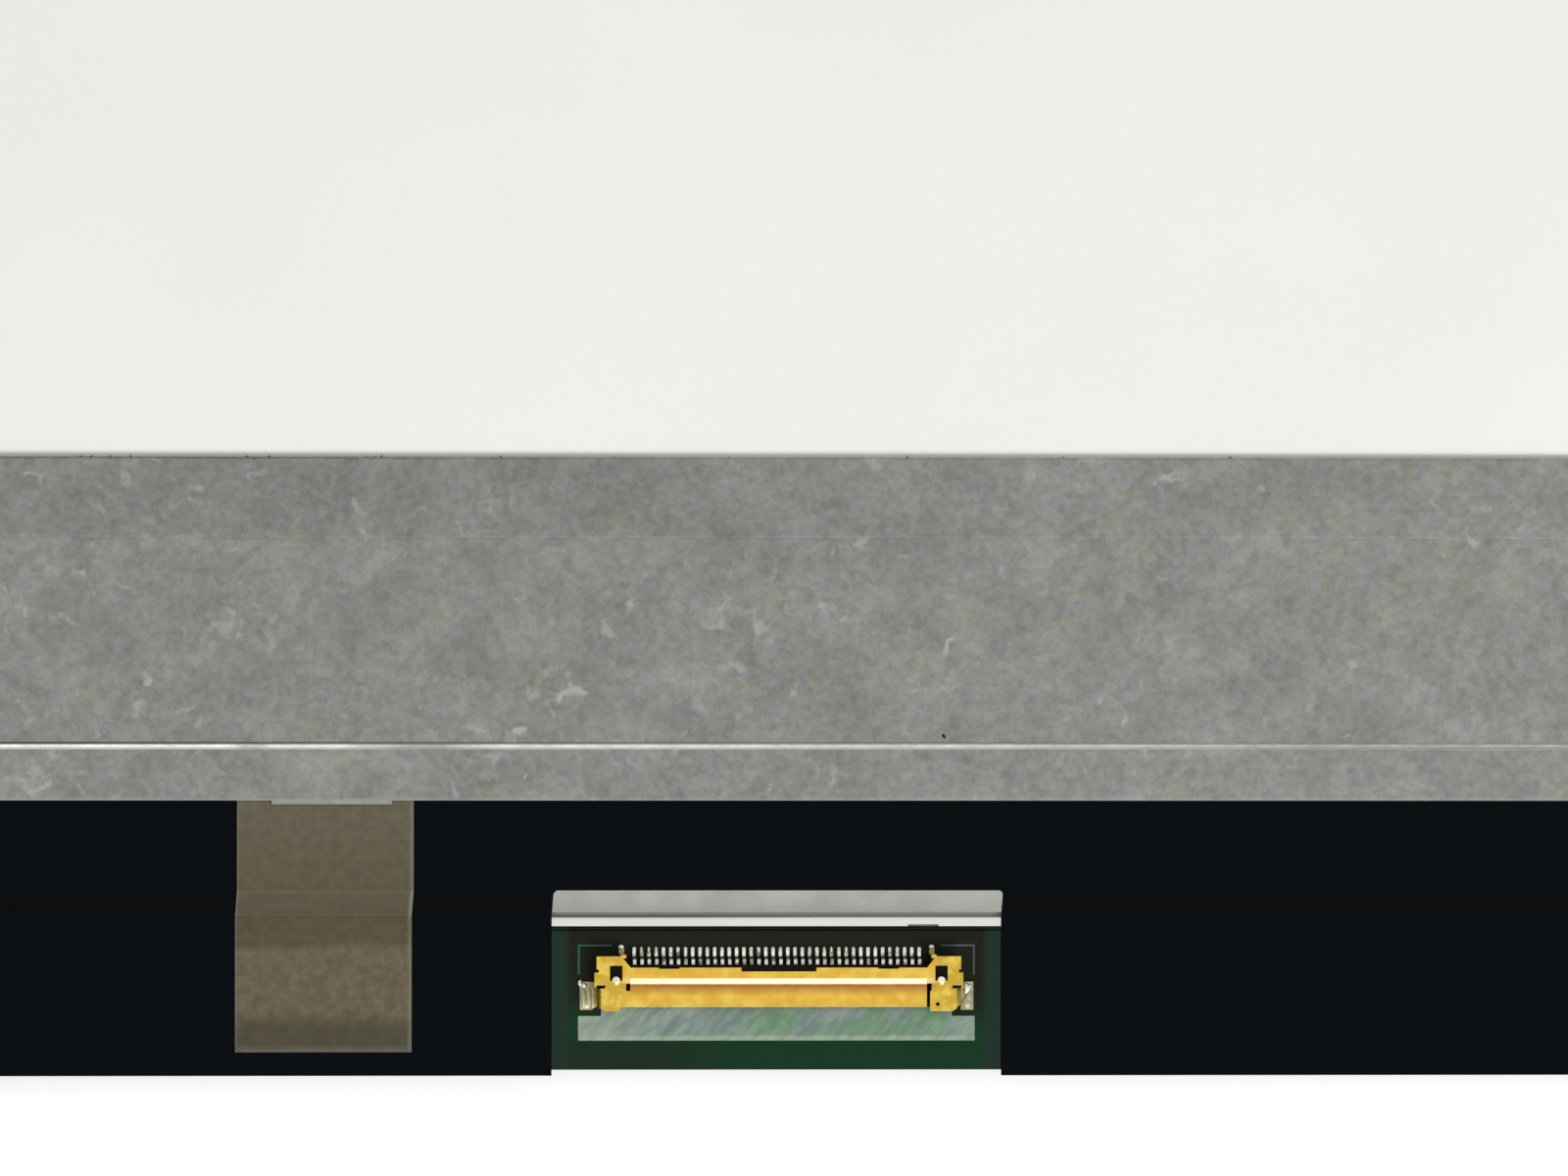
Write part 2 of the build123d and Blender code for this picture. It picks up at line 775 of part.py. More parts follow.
def driver_chips():
    """One chip on the front of each film, on the stretch between the glass and the frame."""
    length, width, height = driver_chip
    front = offset_path(driver_path(), flex_t)
    (y0, z0), (y1, z1) = front[1], front[2]
    run = math.hypot(y1 - y0, z1 - z0)
    along = ((y1 - y0) / run, (z1 - z0) / run)
    middle = ((y0 + y1) / 2, (z0 + z1) / 2)
    ends = [(middle[0] + side * along[0] * width / 2, middle[1] + side * along[1] * width / 2)
            for side in (-1, 1)]
    section = ends + offset_path(ends, height)[::-1]
    return Compound([along_x(section, x - length / 2, x + length / 2) for x in driver_places])


# Board connector

def at_connector(part):
    """Moves a part from the connector's own axes to its place on the board."""
    return Pos(connector_x, board_bottom + connector_setback, z_shelf) * part


def contact_places():
    first = -(contact_count - 1) * contact_pitch / 2
    return [first + n * contact_pitch for n in range(contact_count)]


def connector_contacts():
    """A row of contacts: a beam in the housing, a shoulder behind it and a foot on the board."""
    path = [(contact_tip, contact_height), (contact_shoulder, contact_height),
            (contact_foot, 0), (contact_end, 0)]
    half = contact_width / 2
    return at_connector(Compound([folded_sheet(path, contact_t, x - half, x + half)
                                  for x in contact_places()]))


def connector_housing():
    """Moulded block with a slot for the plug, grooves for the contacts and a block at each end."""
    ceiling = shell_height - shell_t - housing_clearance
    front_ceiling = ceiling - shell_step
    half = side_wall_at - housing_clearance
    body = slab(-half, half, housing_front, housing_rear, 0, ceiling)
    body -= slab(-half, half, housing_front, shell_step_end + shell_step, front_ceiling, ceiling)
    body -= slab(-housing_slot_half, housing_slot_half, housing_front,
                 housing_front + housing_slot_depth - shell_t, housing_floor, ceiling)
    groove = housing_groove / 2
    for x in contact_places():
        body -= slab(x - groove, x + groove, housing_front, housing_rear,
                     contact_height, contact_height + contact_t + housing_clearance)
    wall = rear_leg_width / 2 + housing_clearance
    for side in (-1, 1):
        x = side * rear_leg_offset
        body -= slab(x - wall, x + wall, housing_rear - shell_t, housing_rear, 0, ceiling)
    return at_connector(body)


def hold_down():
    """Leg beside the block's rear half, with an L-shaped foot that is soldered to the board."""
    leg_inner = block_outer - shell_t
    root = hold_down_rear - hold_down_root
    leg = slab(leg_inner, block_outer, root, hold_down_rear, 0, shell_height)
    foot = slab(leg_inner, hold_down_outer, root, hold_down_rear, 0, shell_t)
    foot += slab(hold_down_inner, hold_down_outer, hold_down_front, root, 0, shell_t)
    return leg + foot


def shell_block(side):
    """Top of the shell's end block, with its side wall, hold-down, latch window and rear leg."""
    top = shell_height
    under = top - shell_t
    chamfer_run = 0.6
    front_side = side_wall_at + shell_t
    shoulder = block_outer - block_shoulder
    depth, width = block_notch
    outline = [
        (band_half, slit_top), (band_half, shell_rear), (band_half + chamfer_run, block_rear),
        (shoulder, block_rear), (shoulder, rear_notch + width),
        (block_outer - depth, rear_notch + width), (block_outer - depth, rear_notch),
        (block_outer, rear_notch), (block_outer, side_wall_rear + width),
        (front_side - depth, side_wall_rear + width), (front_side - depth, side_wall_rear),
        (front_side, side_wall_rear), (front_side, block_front),
    ]
    if side > 0:
        slit_outer = band_half + slit_width
        outline += [(slit_outer, block_front), (slit_outer, slit_top)]
    else:
        outline += [(band_fold, block_front), (band_fold, fold_end), (band_half, fold_end)]
    plate = upright([(side * x, y) for x, y in outline], under, top)
    front_corner = plate.edges().filter_by(Axis.Z).sort_by(
        lambda e: side * e.center().X - 4 * e.center().Y)[-1]
    plate = fillet(front_corner, block_corner_r)
    width, height = latch_window
    latch_x = side * latch_offset
    plate -= slab(latch_x - width / 2, latch_x + width / 2, latch_bottom, latch_bottom + height,
                  under, top)
    radius, rise = latch_dome
    ball_r = (radius ** 2 + rise ** 2) / (2 * rise)
    ball = Pos(latch_x, latch_bottom, top + rise - ball_r) * Sphere(ball_r)
    post = Pos(latch_x, latch_bottom, (under + top + rise) / 2)
    plate += ball & post * Cylinder(radius, top + rise - under)
    wall = slab(side_wall_at, front_side, side_wall_front, side_wall_rear, 0, top) + hold_down()
    if side < 0:
        wall = mirror(wall, Plane.YZ)
    leg_rear = block_rear + shell_t
    path = [(block_rear - shell_t, under), (block_rear, under), (leg_rear, 0), (contact_end, 0)]
    leg_x = side * rear_leg_offset
    leg = folded_sheet(path, shell_t, leg_x - rear_leg_width / 2, leg_x + rear_leg_width / 2)
    return plate + wall + leg


def connector_shell():
    """One stamping: a stepped band over the slot and a block at each end."""
    under = shell_height - shell_t
    path = [(band_front, under - shell_step), (shell_step_start, under - shell_step),
            (shell_step_end, under), (shell_rear, under)]
    band = folded_sheet(path, shell_t, -band_half, band_half)
    band -= slab(-recess_half, recess_half, shell_rear - recess_depth, shell_rear,
                 under, shell_height)
    for side in (-1, 1):
        x = side * relief_offset
        band -= slab(x - relief_width / 2, x + relief_width / 2, shell_rear - relief_depth,
                     shell_rear, under, shell_height)
    band += slab(-band_fold - shell_t, -band_half, band_front, fold_end + shell_t,
                 under - shell_step, under)
    shell = band + shell_block(1) + shell_block(-1)
    width, height = keyhole
    for side in (-1, 1):
        x = side * (band_half + width / 2)
        shell -= slab(x - width / 2, x + width / 2, slit_top - height, slit_top, 0, shell_height)
    pilot = Pos(latch_offset - 0.26, 0.47, shell_height)
    shell -= pilot * Cylinder(pilot_hole_r, 3 * shell_t)
    return at_connector(shell)


def ground_pad():
    """Tinned strip on the board in front of the connector, with a tongue that runs under it."""
    strip = slab(-pad_half, pad_half, pad_bottom, pad_top, 0, pad_t)
    strip += slab(-pad_tongue_half, pad_tongue_half, pad_top, pad_tongue_top, 0, pad_t)
    return at_connector(strip)


pieces = {
    "front_polariser": front_polariser(),
    "colour_filter_glass": colour_filter_glass(),
    "array_glass": array_glass(),
    "rear_polariser": rear_polariser(),
    "cell_tape": cell_tape(),
    "upper_prism_film": optical_film(0),
    "lower_prism_film": optical_film(1),
    "diffuser_film": optical_film(2),
    "light_guide": light_guide(),
    "reflector_sheet": reflector_sheet(),
    "leds": leds(),
    "led_strip": led_strip(),
    "moulded_frame": moulded_frame(),
    "right_bracket": right_bracket(),
    "left_bracket": left_bracket(),
    "top_bracket": top_bracket(),
    "led_rail": led_rail(),
    "cover_adhesive": cover_adhesive(),
    "lower_cover": lower_cover(),
    "rear_tape": rear_tape(),
    "ground_tape": ground_tape(),
    "front_tape": front_tape(),
    "driver_board": driver_board(),
    "capacitors": capacitors(),
    "driver_films": driver_films(),
    "driver_chips": driver_chips(),
    "connector_contacts": connector_contacts(),
    "connector_housing": connector_housing(),
    "connector_shell": connector_shell(),
    "ground_pad": ground_pad(),
}
for name, (x, size) in front_parts().items():
    pieces[name] = shielded_coil(x, size) if name == "power_coil" else leadless_chip(x, size)

os.makedirs("parts", exist_ok=True)
to_origin = Pos(0, -overall_height / 2, 0)
for name, piece in pieces.items():
    export_step(to_origin * piece, f"parts/{name}.step")
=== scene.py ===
import math
import random
import bpy
from mathutils import Euler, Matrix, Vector


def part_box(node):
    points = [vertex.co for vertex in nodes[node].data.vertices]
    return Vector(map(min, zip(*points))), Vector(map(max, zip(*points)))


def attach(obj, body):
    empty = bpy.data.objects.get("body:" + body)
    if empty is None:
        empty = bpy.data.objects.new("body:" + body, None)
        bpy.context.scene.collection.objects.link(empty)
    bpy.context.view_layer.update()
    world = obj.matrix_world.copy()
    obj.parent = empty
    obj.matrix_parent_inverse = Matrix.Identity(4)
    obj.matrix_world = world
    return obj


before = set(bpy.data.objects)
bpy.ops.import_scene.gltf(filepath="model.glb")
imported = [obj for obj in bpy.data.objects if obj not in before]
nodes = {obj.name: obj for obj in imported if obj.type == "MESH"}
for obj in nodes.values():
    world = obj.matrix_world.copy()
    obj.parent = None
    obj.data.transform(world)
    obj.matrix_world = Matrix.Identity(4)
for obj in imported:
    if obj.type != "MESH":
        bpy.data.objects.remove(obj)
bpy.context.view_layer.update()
mm = 0.001
print("frame loaded with", len(nodes), "pieces")

# Places that the photograph is read from: the tape's lower edge and the middle of the connector
shellLow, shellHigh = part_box("connector_shell")
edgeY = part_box("rear_tape")[0].y
plugX = (shellLow.x + shellHigh.x) / 2
matingFace = shellLow.y
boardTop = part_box("driver_board")[1].z


def boardPlace(right, up):
    # A place on the panel's rear, in mm from the middle of the connector and from the lower edge
    return plugX + right * mm, edgeY + up * mm


def spanFrom(start, span):
    # Two places in metres, from a starting place and a span in mm
    return start + span[0] * mm, start + span[1] * mm


# Shader tools

def addNode(tree, kind, inputs=None, **settings):
    made = tree.nodes.new("ShaderNode" + kind)
    for key, value in settings.items():
        setattr(made, key, value)
    for key, value in (inputs or {}).items():
        if isinstance(value, bpy.types.NodeSocket):
            tree.links.new(value, made.inputs[key])
        else:
            made.inputs[key].default_value = value
    return made


def calc(tree, operation, first, second=0.0, third=0.0):
    made = addNode(tree, "Math", {0: first, 1: second, 2: third}, operation=operation)
    return made.outputs[0]


def times(tree, first, *others):
    for other in others:
        first = calc(tree, "MULTIPLY", first, other)
    return first


def remap(tree, value, low, high, toLow=0.0, toHigh=1.0, smooth=False):
    kind = "SMOOTHSTEP" if smooth else "LINEAR"
    made = addNode(tree, "MapRange", {"Value": value, "From Min": low, "From Max": high,
                                      "To Min": toLow, "To Max": toHigh}, interpolation_type=kind)
    return made.outputs["Result"]


def band(tree, place, low, high, soft):
    # 1 between two places along an axis, 0 outside them
    rise = remap(tree, place, low - soft, low + soft)
    fall = remap(tree, place, high - soft, high + soft, 1.0, 0.0)
    return times(tree, rise, fall)


def blendColours(tree, share, first, second, kind="MIX"):
    made = addNode(tree, "Mix", {0: share, 6: first, 7: second}, data_type="RGBA", blend_type=kind,
                   clamp_factor=True)
    return made.outputs[2]


def addNoise(tree, vector, scale, detail=2.0, roughness=0.5, distortion=0.0):
    made = addNode(tree, "TexNoise", {"Vector": vector, "Scale": scale, "Detail": detail,
                                      "Roughness": roughness, "Distortion": distortion})
    return made.outputs[0]


def startGroup(name, inputs, outputs):
    group = bpy.data.node_groups.new(name, "ShaderNodeTree")
    for label, kind, value in inputs:
        socket = group.interface.new_socket(label, in_out="INPUT", socket_type="NodeSocket" + kind)
        if value is not None:
            socket.default_value = value
    for label, kind in outputs:
        group.interface.new_socket(label, in_out="OUTPUT", socket_type="NodeSocket" + kind)
    return group, group.nodes.new("NodeGroupInput"), group.nodes.new("NodeGroupOutput")


def placeGroup(tree, group, inputs):
    return addNode(tree, "Group", inputs, node_tree=group).outputs


def makeMottle():
    # Soft cloudy patches, from 0 to 1
    group, inside, out = startGroup("mottle", [
        ("Vector", "Vector", None), ("Scale", "Float", 100.0), ("Detail", "Float", 3.0),
        ("Low", "Float", 0.4), ("High", "Float", 0.6)], [("Mask", "Float")])
    given = inside.outputs
    noise = addNoise(group, given["Vector"], given["Scale"], given["Detail"])
    mask = remap(group, noise, given["Low"], given["High"], smooth=True)
    group.links.new(mask, out.inputs["Mask"])
    return group


def makeGrain():
    # Fine even grain for mouldings, tapes and films
    group, inside, out = startGroup("grain", [
        ("Vector", "Vector", None), ("Scale", "Float", 4000.0), ("Wave Scale", "Float", 60.0),
        ("Wave Share", "Float", 0.5)], [("Height", "Float"), ("Value", "Float")])
    given = inside.outputs
    fine = addNoise(group, given["Vector"], given["Scale"])
    wide = addNoise(group, given["Vector"], given["Wave Scale"])
    height = calc(group, "ADD", fine, times(group, wide, given["Wave Share"]))
    group.links.new(height, out.inputs["Height"])
    group.links.new(fine, out.inputs["Value"])
    return group


spangleLook = {
    "swirl": (1100.0, 0.0011),       # scale of the noise that bends the cells, and its reach in metres
    "cloud": 1700.0,
    "cellShare": 0.26,               # the rest of the tone is cloud
    "tint": 1100.0,
    "streaks": (640.0, 0.84),        # scale, and share in the flakes' mask
    "patches": (170.0, 0.36),
    "edge": 0.725,                   # where a flake begins in that mask
    "gain": 0.06,                    # how far many flakes lower it
    "soft": 0.22,
}


def makeSpangle():
    # Zinc crystals: soft small cells, a drift of tint and a few pale flakes
    look = spangleLook
    group, inside, out = startGroup("spangle", [
        ("Vector", "Vector", None), ("Cells", "Float", 900.0), ("Flakes", "Float", 0.5)],
        [("Tone", "Float"), ("Tint", "Float"), ("Flake", "Float")])
    vector = inside.outputs["Vector"]
    scale, reach = look["swirl"]
    swirl = addNode(group, "TexNoise", {"Vector": vector, "Scale": scale, "Detail": 3.0})
    push = addNode(group, "VectorMath", {0: swirl.outputs[1], 1: (reach,) * 3}, operation="MULTIPLY")
    bent = addNode(group, "VectorMath", {0: vector, 1: push.outputs[0]}, operation="ADD").outputs[0]
    cells = addNode(group, "TexVoronoi", {"Vector": bent, "Scale": inside.outputs["Cells"]})
    cellTone = addNode(group, "SeparateColor", {0: cells.outputs["Color"]}).outputs[0]
    cloud = addNoise(group, vector, look["cloud"], 6.0, roughness=0.65)
    cellShare = look["cellShare"]
    tone = calc(group, "MULTIPLY_ADD", remap(group, cloud, 0.3, 0.7), 1.0 - cellShare,
                times(group, cellTone, cellShare))
    tint = addNoise(group, bent, look["tint"], 3.0)
    scale, streakShare = look["streaks"]
    streaks = addNoise(group, bent, scale, distortion=0.6)
    scale, patchShare = look["patches"]
    patches = addNoise(group, vector, scale, 1.0)
    mixed = calc(group, "MULTIPLY_ADD", patches, patchShare, times(group, streaks, streakShare))
    edge = calc(group, "SUBTRACT", look["edge"], times(group, inside.outputs["Flakes"], look["gain"]))
    flake = remap(group, mixed, edge, calc(group, "ADD", edge, look["soft"]), smooth=True)
    group.links.new(tone, out.inputs["Tone"])
    group.links.new(remap(group, tint, 0.35, 0.65), out.inputs["Tint"])
    group.links.new(flake, out.inputs["Flake"])
    return group


def makeWeave():
    # Plain weave: two sets of fine threads that pass over and under each other
    group, inside, out = startGroup("weave", [
        ("Vector", "Vector", None), ("Threads", "Float", 5000.0)], [("Height", "Float")])
    axes = addNode(group, "SeparateXYZ", {0: inside.outputs["Vector"]}).outputs
    turn = times(group, inside.outputs["Threads"], math.pi)
    across = times(group, axes[0], turn)
    along = times(group, axes[1], turn)
    warp = calc(group, "ABSOLUTE", calc(group, "SINE", across))
    weft = calc(group, "ABSOLUTE", calc(group, "SINE", along))
    turnOver = times(group, calc(group, "SINE", across), calc(group, "SINE", along))
    over = remap(group, turnOver, -0.2, 0.2)
    height = calc(group, "ADD", times(group, warp, over),
                  times(group, weft, calc(group, "SUBTRACT", 1.0, over)))
    group.links.new(height, out.inputs["Height"])
    return group


mottle = makeMottle()
grain = makeGrain()
spangle = makeSpangle()
weave = makeWeave()
print("shader groups made")


def cloudMask(tree, coords, scale, low, high, detail=3.0):
    return placeGroup(tree, mottle, {"Vector": coords, "Scale": scale, "Detail": detail,
                                     "Low": low, "High": high})["Mask"]


def addGrain(tree, coords, scale, waveScale, waveShare):
    return placeGroup(tree, grain, {"Vector": coords, "Scale": scale, "Wave Scale": waveScale,
                                    "Wave Share": waveShare})


# Materials

def startMaterial(name, metallic=0.0, roughness=0.5, specular=0.5):
    made = bpy.data.materials.new(name)
    made.use_nodes = True
    tree = made.node_tree
    shader = tree.nodes["Principled BSDF"]
    shader.inputs["Metallic"].default_value = metallic
    shader.inputs["Roughness"].default_value = roughness
    shader.inputs["Specular IOR Level"].default_value = specular
    coords = addNode(tree, "TexCoord").outputs["Object"]
    return made, tree, shader, coords


def setBump(tree, shader, height, strength, distance):
    bump = addNode(tree, "Bump", {"Height": height, "Strength": strength, "Distance": distance})
    tree.links.new(bump.outputs[0], shader.inputs["Normal"])


steelLook = {
    "dark": (0.156, 0.158, 0.1485, 1),
    "light": (0.252, 0.2545, 0.2395, 1),
    "flake": (0.367, 0.367, 0.349, 1),
    "olive": (1.0, 1.008, 0.90, 1),
    "violet": (1.0, 0.987, 1.055, 1),
    "roughness": (0.48, 0.56),       # of the dark cells and of the light ones
    "cells": 1100.0,
    "flakeSpan": (-30.0, 45.0),      # mm from the connector: many flakes to few
    "flakeCount": (1.0, 0.2),
    "flakeShare": 0.75,
    "upperFlakes": 0.4,              # how many of them show above the bend
    "patches": 230.0,
    "drift": 0.1,                    # how far the broad patches leave the mean tone
    "gainSpan": (-10.0, 40.0),       # mm from the connector: the cover is paler to the right
    "rightGain": 1.08,
    "bump": 0.004,                   # mm
}

creaseLook = {
    "bendLine": (36.1, 36.45),       # mm above the lower edge: the crease between face and lead-in
    "leadGain": (0.015, 0.11),       # how much paler the lead-in is painted, at the left and at the right: painted light
    "bendMark": (36.2, 36.35),       # a faint dark line in it, painted shade in the crease
    "bendShare": 0.2,
    # painted shade for the bend line, and painted shade with grime for the cut edge
    "paintedShadeAndGrime": (0.085, 0.088, 0.075, 1),
    "cutSpan": (-32.0, -8.0),        # mm from the connector: the cut edge is darkened with painted shade and grime at the left, then less
    "cutShare": (0.6, 0.2),
    "cutEdge": (-0.04, 0.06),        # mm from the cover's upper edge
    "ragged": (1800.0, 0.3),         # scale of the noise that tears it, and its reach in mm
    "ridge": (22.08, 22.46),         # the fold that catches the light
    "ridgeSpan": (-48.0, 46.0),      # mm from the connector: the fold's highlight is left bright, then dimmed by painted shade
    "ridgeGlint": (0.97, 0.4),        # how bright the fold's highlight is left at the two ends of that span
    # middle, half width and depth of the places where the fold's highlight is dimmed by painted shade
    "glintGaps": ((-36.2, 0.9, 0.33), (-24.5, 3.4, 0.5), (25.5, 1.5, 0.1), (37.0, 2.5, 0.12)),
    "fold": (0.235, 0.237, 0.223, 1),
    # painted shade that dims the fold's highlight
    "paintedFoldShade": (0.012, 0.012, 0.011, 1),
    "foldSoft": 0.05,                # mm: how soft the fold's edges are
    "lineSoft": 0.03,                # and the edges of the lines along it
    "glintWobble": (0.86, 1.04),             # how unevenly the fold's highlight is dimmed by painted shade
    "polish": 0.1,                   # how much smoother the fold is
    "above": (-0.085, 0.09),         # mm from the fold's upper edge: a dark line of painted shade along it
    "abovePaintedShade": (0.02, 0.02, 0.018, 1),
    "aboveShare": (0.9, 0.4),
    "below": (-0.03, 0.07),          # mm from the fold's lower edge: a pale line of painted highlight along it
    "belowPaintedHighlight": (0.46, 0.46, 0.435, 1),
    "rim": (0.38, 0.38, 0.35, 1),    # the lip's lower edge: a painted highlight
    "rimHighlightShare": 0.3,
    "rimSpan": (0.3, 0.45),          # mm above the lip's foot
    "tabShare": 0.2,                 # paler over the cloth tape
    "tabInset": (2.0, 1.0),          # mm from the tape's sides
    "tabSoft": 0.6,
}


def addBend(tree, coords, axes, colour, broken):
    # A lead-in painted paler as painted light, a bend line of painted shade, and a cut edge darkened
    # with painted shade and grime
    look = creaseLook
    along, up = axes[:2]
    lead = remap(tree, up, *spanFrom(edgeY, look["bendLine"]))
    leadGain = remap(tree, along, *spanFrom(plugX, look["ridgeSpan"]), *look["leadGain"])
    gain = calc(tree, "MULTIPLY_ADD", lead, leadGain, 1.0)
    colour = blendColours(tree, 1.0, colour, gain, "MULTIPLY")
    # painted shade: a faint dark line along the bend
    line = band(tree, up, *spanFrom(edgeY, look["bendMark"]), look["foldSoft"] * mm)
    line = times(tree, line, broken, look["bendShare"])
    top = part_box("lower_cover")[1].y
    scale, reach = look["ragged"]
    depth = calc(tree, "MULTIPLY_ADD", addNoise(tree, coords, scale, 3.0), reach * mm, up)
    # painted shade and grime along the cut edge, strongest at the left
    cutShare = remap(tree, along, *spanFrom(plugX, look["cutSpan"]), *look["cutShare"])
    cut = times(tree, remap(tree, depth, *spanFrom(top, look["cutEdge"])), cutShare)
    return blendColours(tree, calc(tree, "ADD", line, cut), colour, look["paintedShadeAndGrime"])


def addRidge(tree, coords, axes, colour):
    # The fold, its highlight dimmed in places by painted shade, with a painted dark line above it and a
    # painted pale line below
    look = creaseLook
    along, up = axes[:2]
    near, far = spanFrom(plugX, look["ridgeSpan"])
    stretch = addNode(tree, "Mapping", {"Vector": coords, "Scale": (1.0, 0.05, 1.0)}).outputs[0]
    glintWobble = addNoise(tree, stretch, 420.0, 4.0)
    tone = remap(tree, along, near, far, *look["ridgeGlint"])
    tone = times(tree, tone, remap(tree, glintWobble, 0.3, 0.6, *look["glintWobble"]))
    for middle, half, deep in look["glintGaps"]:
        gap = band(tree, along, *spanFrom(plugX, (middle - half, middle + half)), half * 0.6 * mm)
        tone = times(tree, tone, calc(tree, "MULTIPLY_ADD", gap, -deep, 1.0))
    low, high = spanFrom(edgeY, look["ridge"])
    fold = band(tree, up, low, high, look["foldSoft"] * mm)
    lineSoft = look["lineSoft"] * mm
    colour = blendColours(tree, fold, colour, look["fold"])
    # painted shade dims the fold where its glint is low
    dull = times(tree, fold, calc(tree, "SUBTRACT", 1.0, tone))
    colour = blendColours(tree, dull, colour, look["paintedFoldShade"])
    # painted shade: a dark line above the fold
    above = band(tree, up, *spanFrom(high, look["above"]), lineSoft)
    above = times(tree, above, remap(tree, along, near, far, *look["aboveShare"]))
    colour = blendColours(tree, above, colour, look["abovePaintedShade"])
    # painted highlight: a pale line below the fold
    below = band(tree, up, *spanFrom(low, look["below"]), lineSoft)
    colour = blendColours(tree, times(tree, below, tone), colour, look["belowPaintedHighlight"])
    return colour, fold


def addRims(tree, axes, colour, broken):
    # The lip's lower edge with a painted highlight, and a paler patch where it lies on the cloth tape
    look = creaseLook
    along, up = axes[:2]
    ridgeFoot = edgeY + look["ridge"][0] * mm
    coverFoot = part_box("lower_cover")[0].y
    tabLow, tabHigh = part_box("ground_tape")
    leftInset, rightInset = look["tabInset"]
    patch = band(tree, along, tabLow.x + leftInset * mm, tabHigh.x - rightInset * mm,
                 look["tabSoft"] * mm)
    patch = times(tree, patch, remap(tree, up, *spanFrom(ridgeFoot, (-0.5, 0.0)), 1.0, 0.0))
    patch = times(tree, patch, broken, look["tabShare"])
    # painted highlight along the lip's lower edge
    rim = remap(tree, up, *spanFrom(coverFoot, look["rimSpan"]), look["rimHighlightShare"], 0.0)
    return blendColours(tree, calc(tree, "MAXIMUM", patch, rim), colour, look["rim"])


def makeSteel(name, creased):
    look = steelLook
    made, tree, shader, coords = startMaterial(name, metallic=1.0)
    axes = addNode(tree, "SeparateXYZ", {0: coords}).outputs
    flakes = remap(tree, axes[0], *spanFrom(plugX, look["flakeSpan"]), *look["flakeCount"])
    bend = edgeY + creaseLook["bendLine"][0] * mm
    upper = remap(tree, axes[1], bend, bend + mm, 1.0, look["upperFlakes"])
    flakes = times(tree, flakes, upper)
    parts = placeGroup(tree, spangle, {"Vector": coords, "Cells": look["cells"], "Flakes": flakes})
    body = blendColours(tree, parts["Tone"], look["dark"], look["light"])
    tint = blendColours(tree, parts["Tint"], look["olive"], look["violet"])
    body = blendColours(tree, 1.0, body, tint, "MULTIPLY")
    patches = addNoise(tree, coords, look["patches"])
    patches = remap(tree, patches, 0.3, 0.7, 1.0 - look["drift"], 1.0 + look["drift"])
    gain = remap(tree, axes[0], *spanFrom(plugX, look["gainSpan"]), 1.0, look["rightGain"])
    body = blendColours(tree, 1.0, body, times(tree, patches, gain), "MULTIPLY")
    flakes = times(tree, parts["Flake"], look["flakeShare"])
    colour = blendColours(tree, flakes, body, look["flake"])
    roughness = remap(tree, parts["Tone"], 0.0, 1.0, *look["roughness"])
    if creased:
        broken = cloudMask(tree, coords, 240.0, 0.35, 0.6)
        colour = addBend(tree, coords, axes, colour, broken)
        colour, fold = addRidge(tree, coords, axes, colour)
        colour = addRims(tree, axes, colour, broken)
        roughness = calc(tree, "MULTIPLY_ADD", fold, -creaseLook["polish"], roughness)
    tree.links.new(colour, shader.inputs["Base Color"])
    tree.links.new(roughness, shader.inputs["Roughness"])
    setBump(tree, shader, parts["Tone"], 0.5, look["bump"] * mm)
    return made


tapeLook = {
    "dark": (0.0030, 0.0040, 0.0048, 1),
    "light": (0.0044, 0.0056, 0.0068, 1),
    "roughness": 0.65,
    "specular": 0.008,
    "slope": (10.8, 12.5),           # mm above the lower edge, where the tape runs up to the rail and is painted darker as shade
    "slopeShadeShare": 0.3,
}


def makeBlackTape():
    look = tapeLook
    made, tree, shader, coords = startMaterial("blackTape", 0.0, look["roughness"], look["specular"])
    parts = addGrain(tree, coords, 2600.0, 90.0, 3.0)
    colour = blendColours(tree, parts["Value"], look["dark"], look["light"])
    axes = addNode(tree, "SeparateXYZ", {0: coords}).outputs
    # painted shade on the slope, towards black
    slope = band(tree, axes[1], *spanFrom(edgeY, look["slope"]), 0.12 * mm)
    slope = times(tree, slope, look["slopeShadeShare"])
    colour = blendColours(tree, slope, colour, (0.0, 0.0, 0.0, 1))
    tree.links.new(colour, shader.inputs["Base Color"])
    setBump(tree, shader, parts["Height"], 0.3, 0.01 * mm)
    return made


clothLook = {
    "top": (0.112, 0.095, 0.060, 1),
    "middle": (0.081, 0.067, 0.0355, 1),
    "low": (0.126, 0.104, 0.064, 1),
    "foot": (0.062, 0.054, 0.034, 1),
    "rim": (0.19, 0.182, 0.15, 1),
    "rosy": (1.03, 0.99, 0.98, 1),
    "leafy": (0.97, 1.005, 1.0, 1),
    "threads": 4200.0,
    "topSpan": (11.0, 18.0),         # mm above the lower edge, where the tone changes
    "change": (8.9, 9.7),
    "footSpan": (3.55, 5.1),
    "slope": (10.73, 12.42),         # where the cloth runs up to the cover, painted darker as shade
    "slopePaintedShade": (0.018, 0.012, 0.0, 1),
    "slopeShadeShare": 0.54,
    "cloud": (0.89, 1.11),
    "pebbles": (6.4, 3.4),           # middle of the pebbled patch above the edge, and its reach
    # painted shade between the pebbles
    "pitPaintedShade": (0.03, 0.025, 0.015, 1),
    "pitShare": 0.22,
    "pitDepth": 1.6,                 # beside the threads' height
    "wander": (180.0, 1.2),          # scale and reach in mm, of the borders between the tones
    "leftRim": (0.05, 0.2),          # mm from that edge of the tape, where it is paler
    "rightRim": (-0.34, -0.16),
    "lowRim": (0.1, 0.5),
    "rims": (0.25, 0.45, 0.3),
}


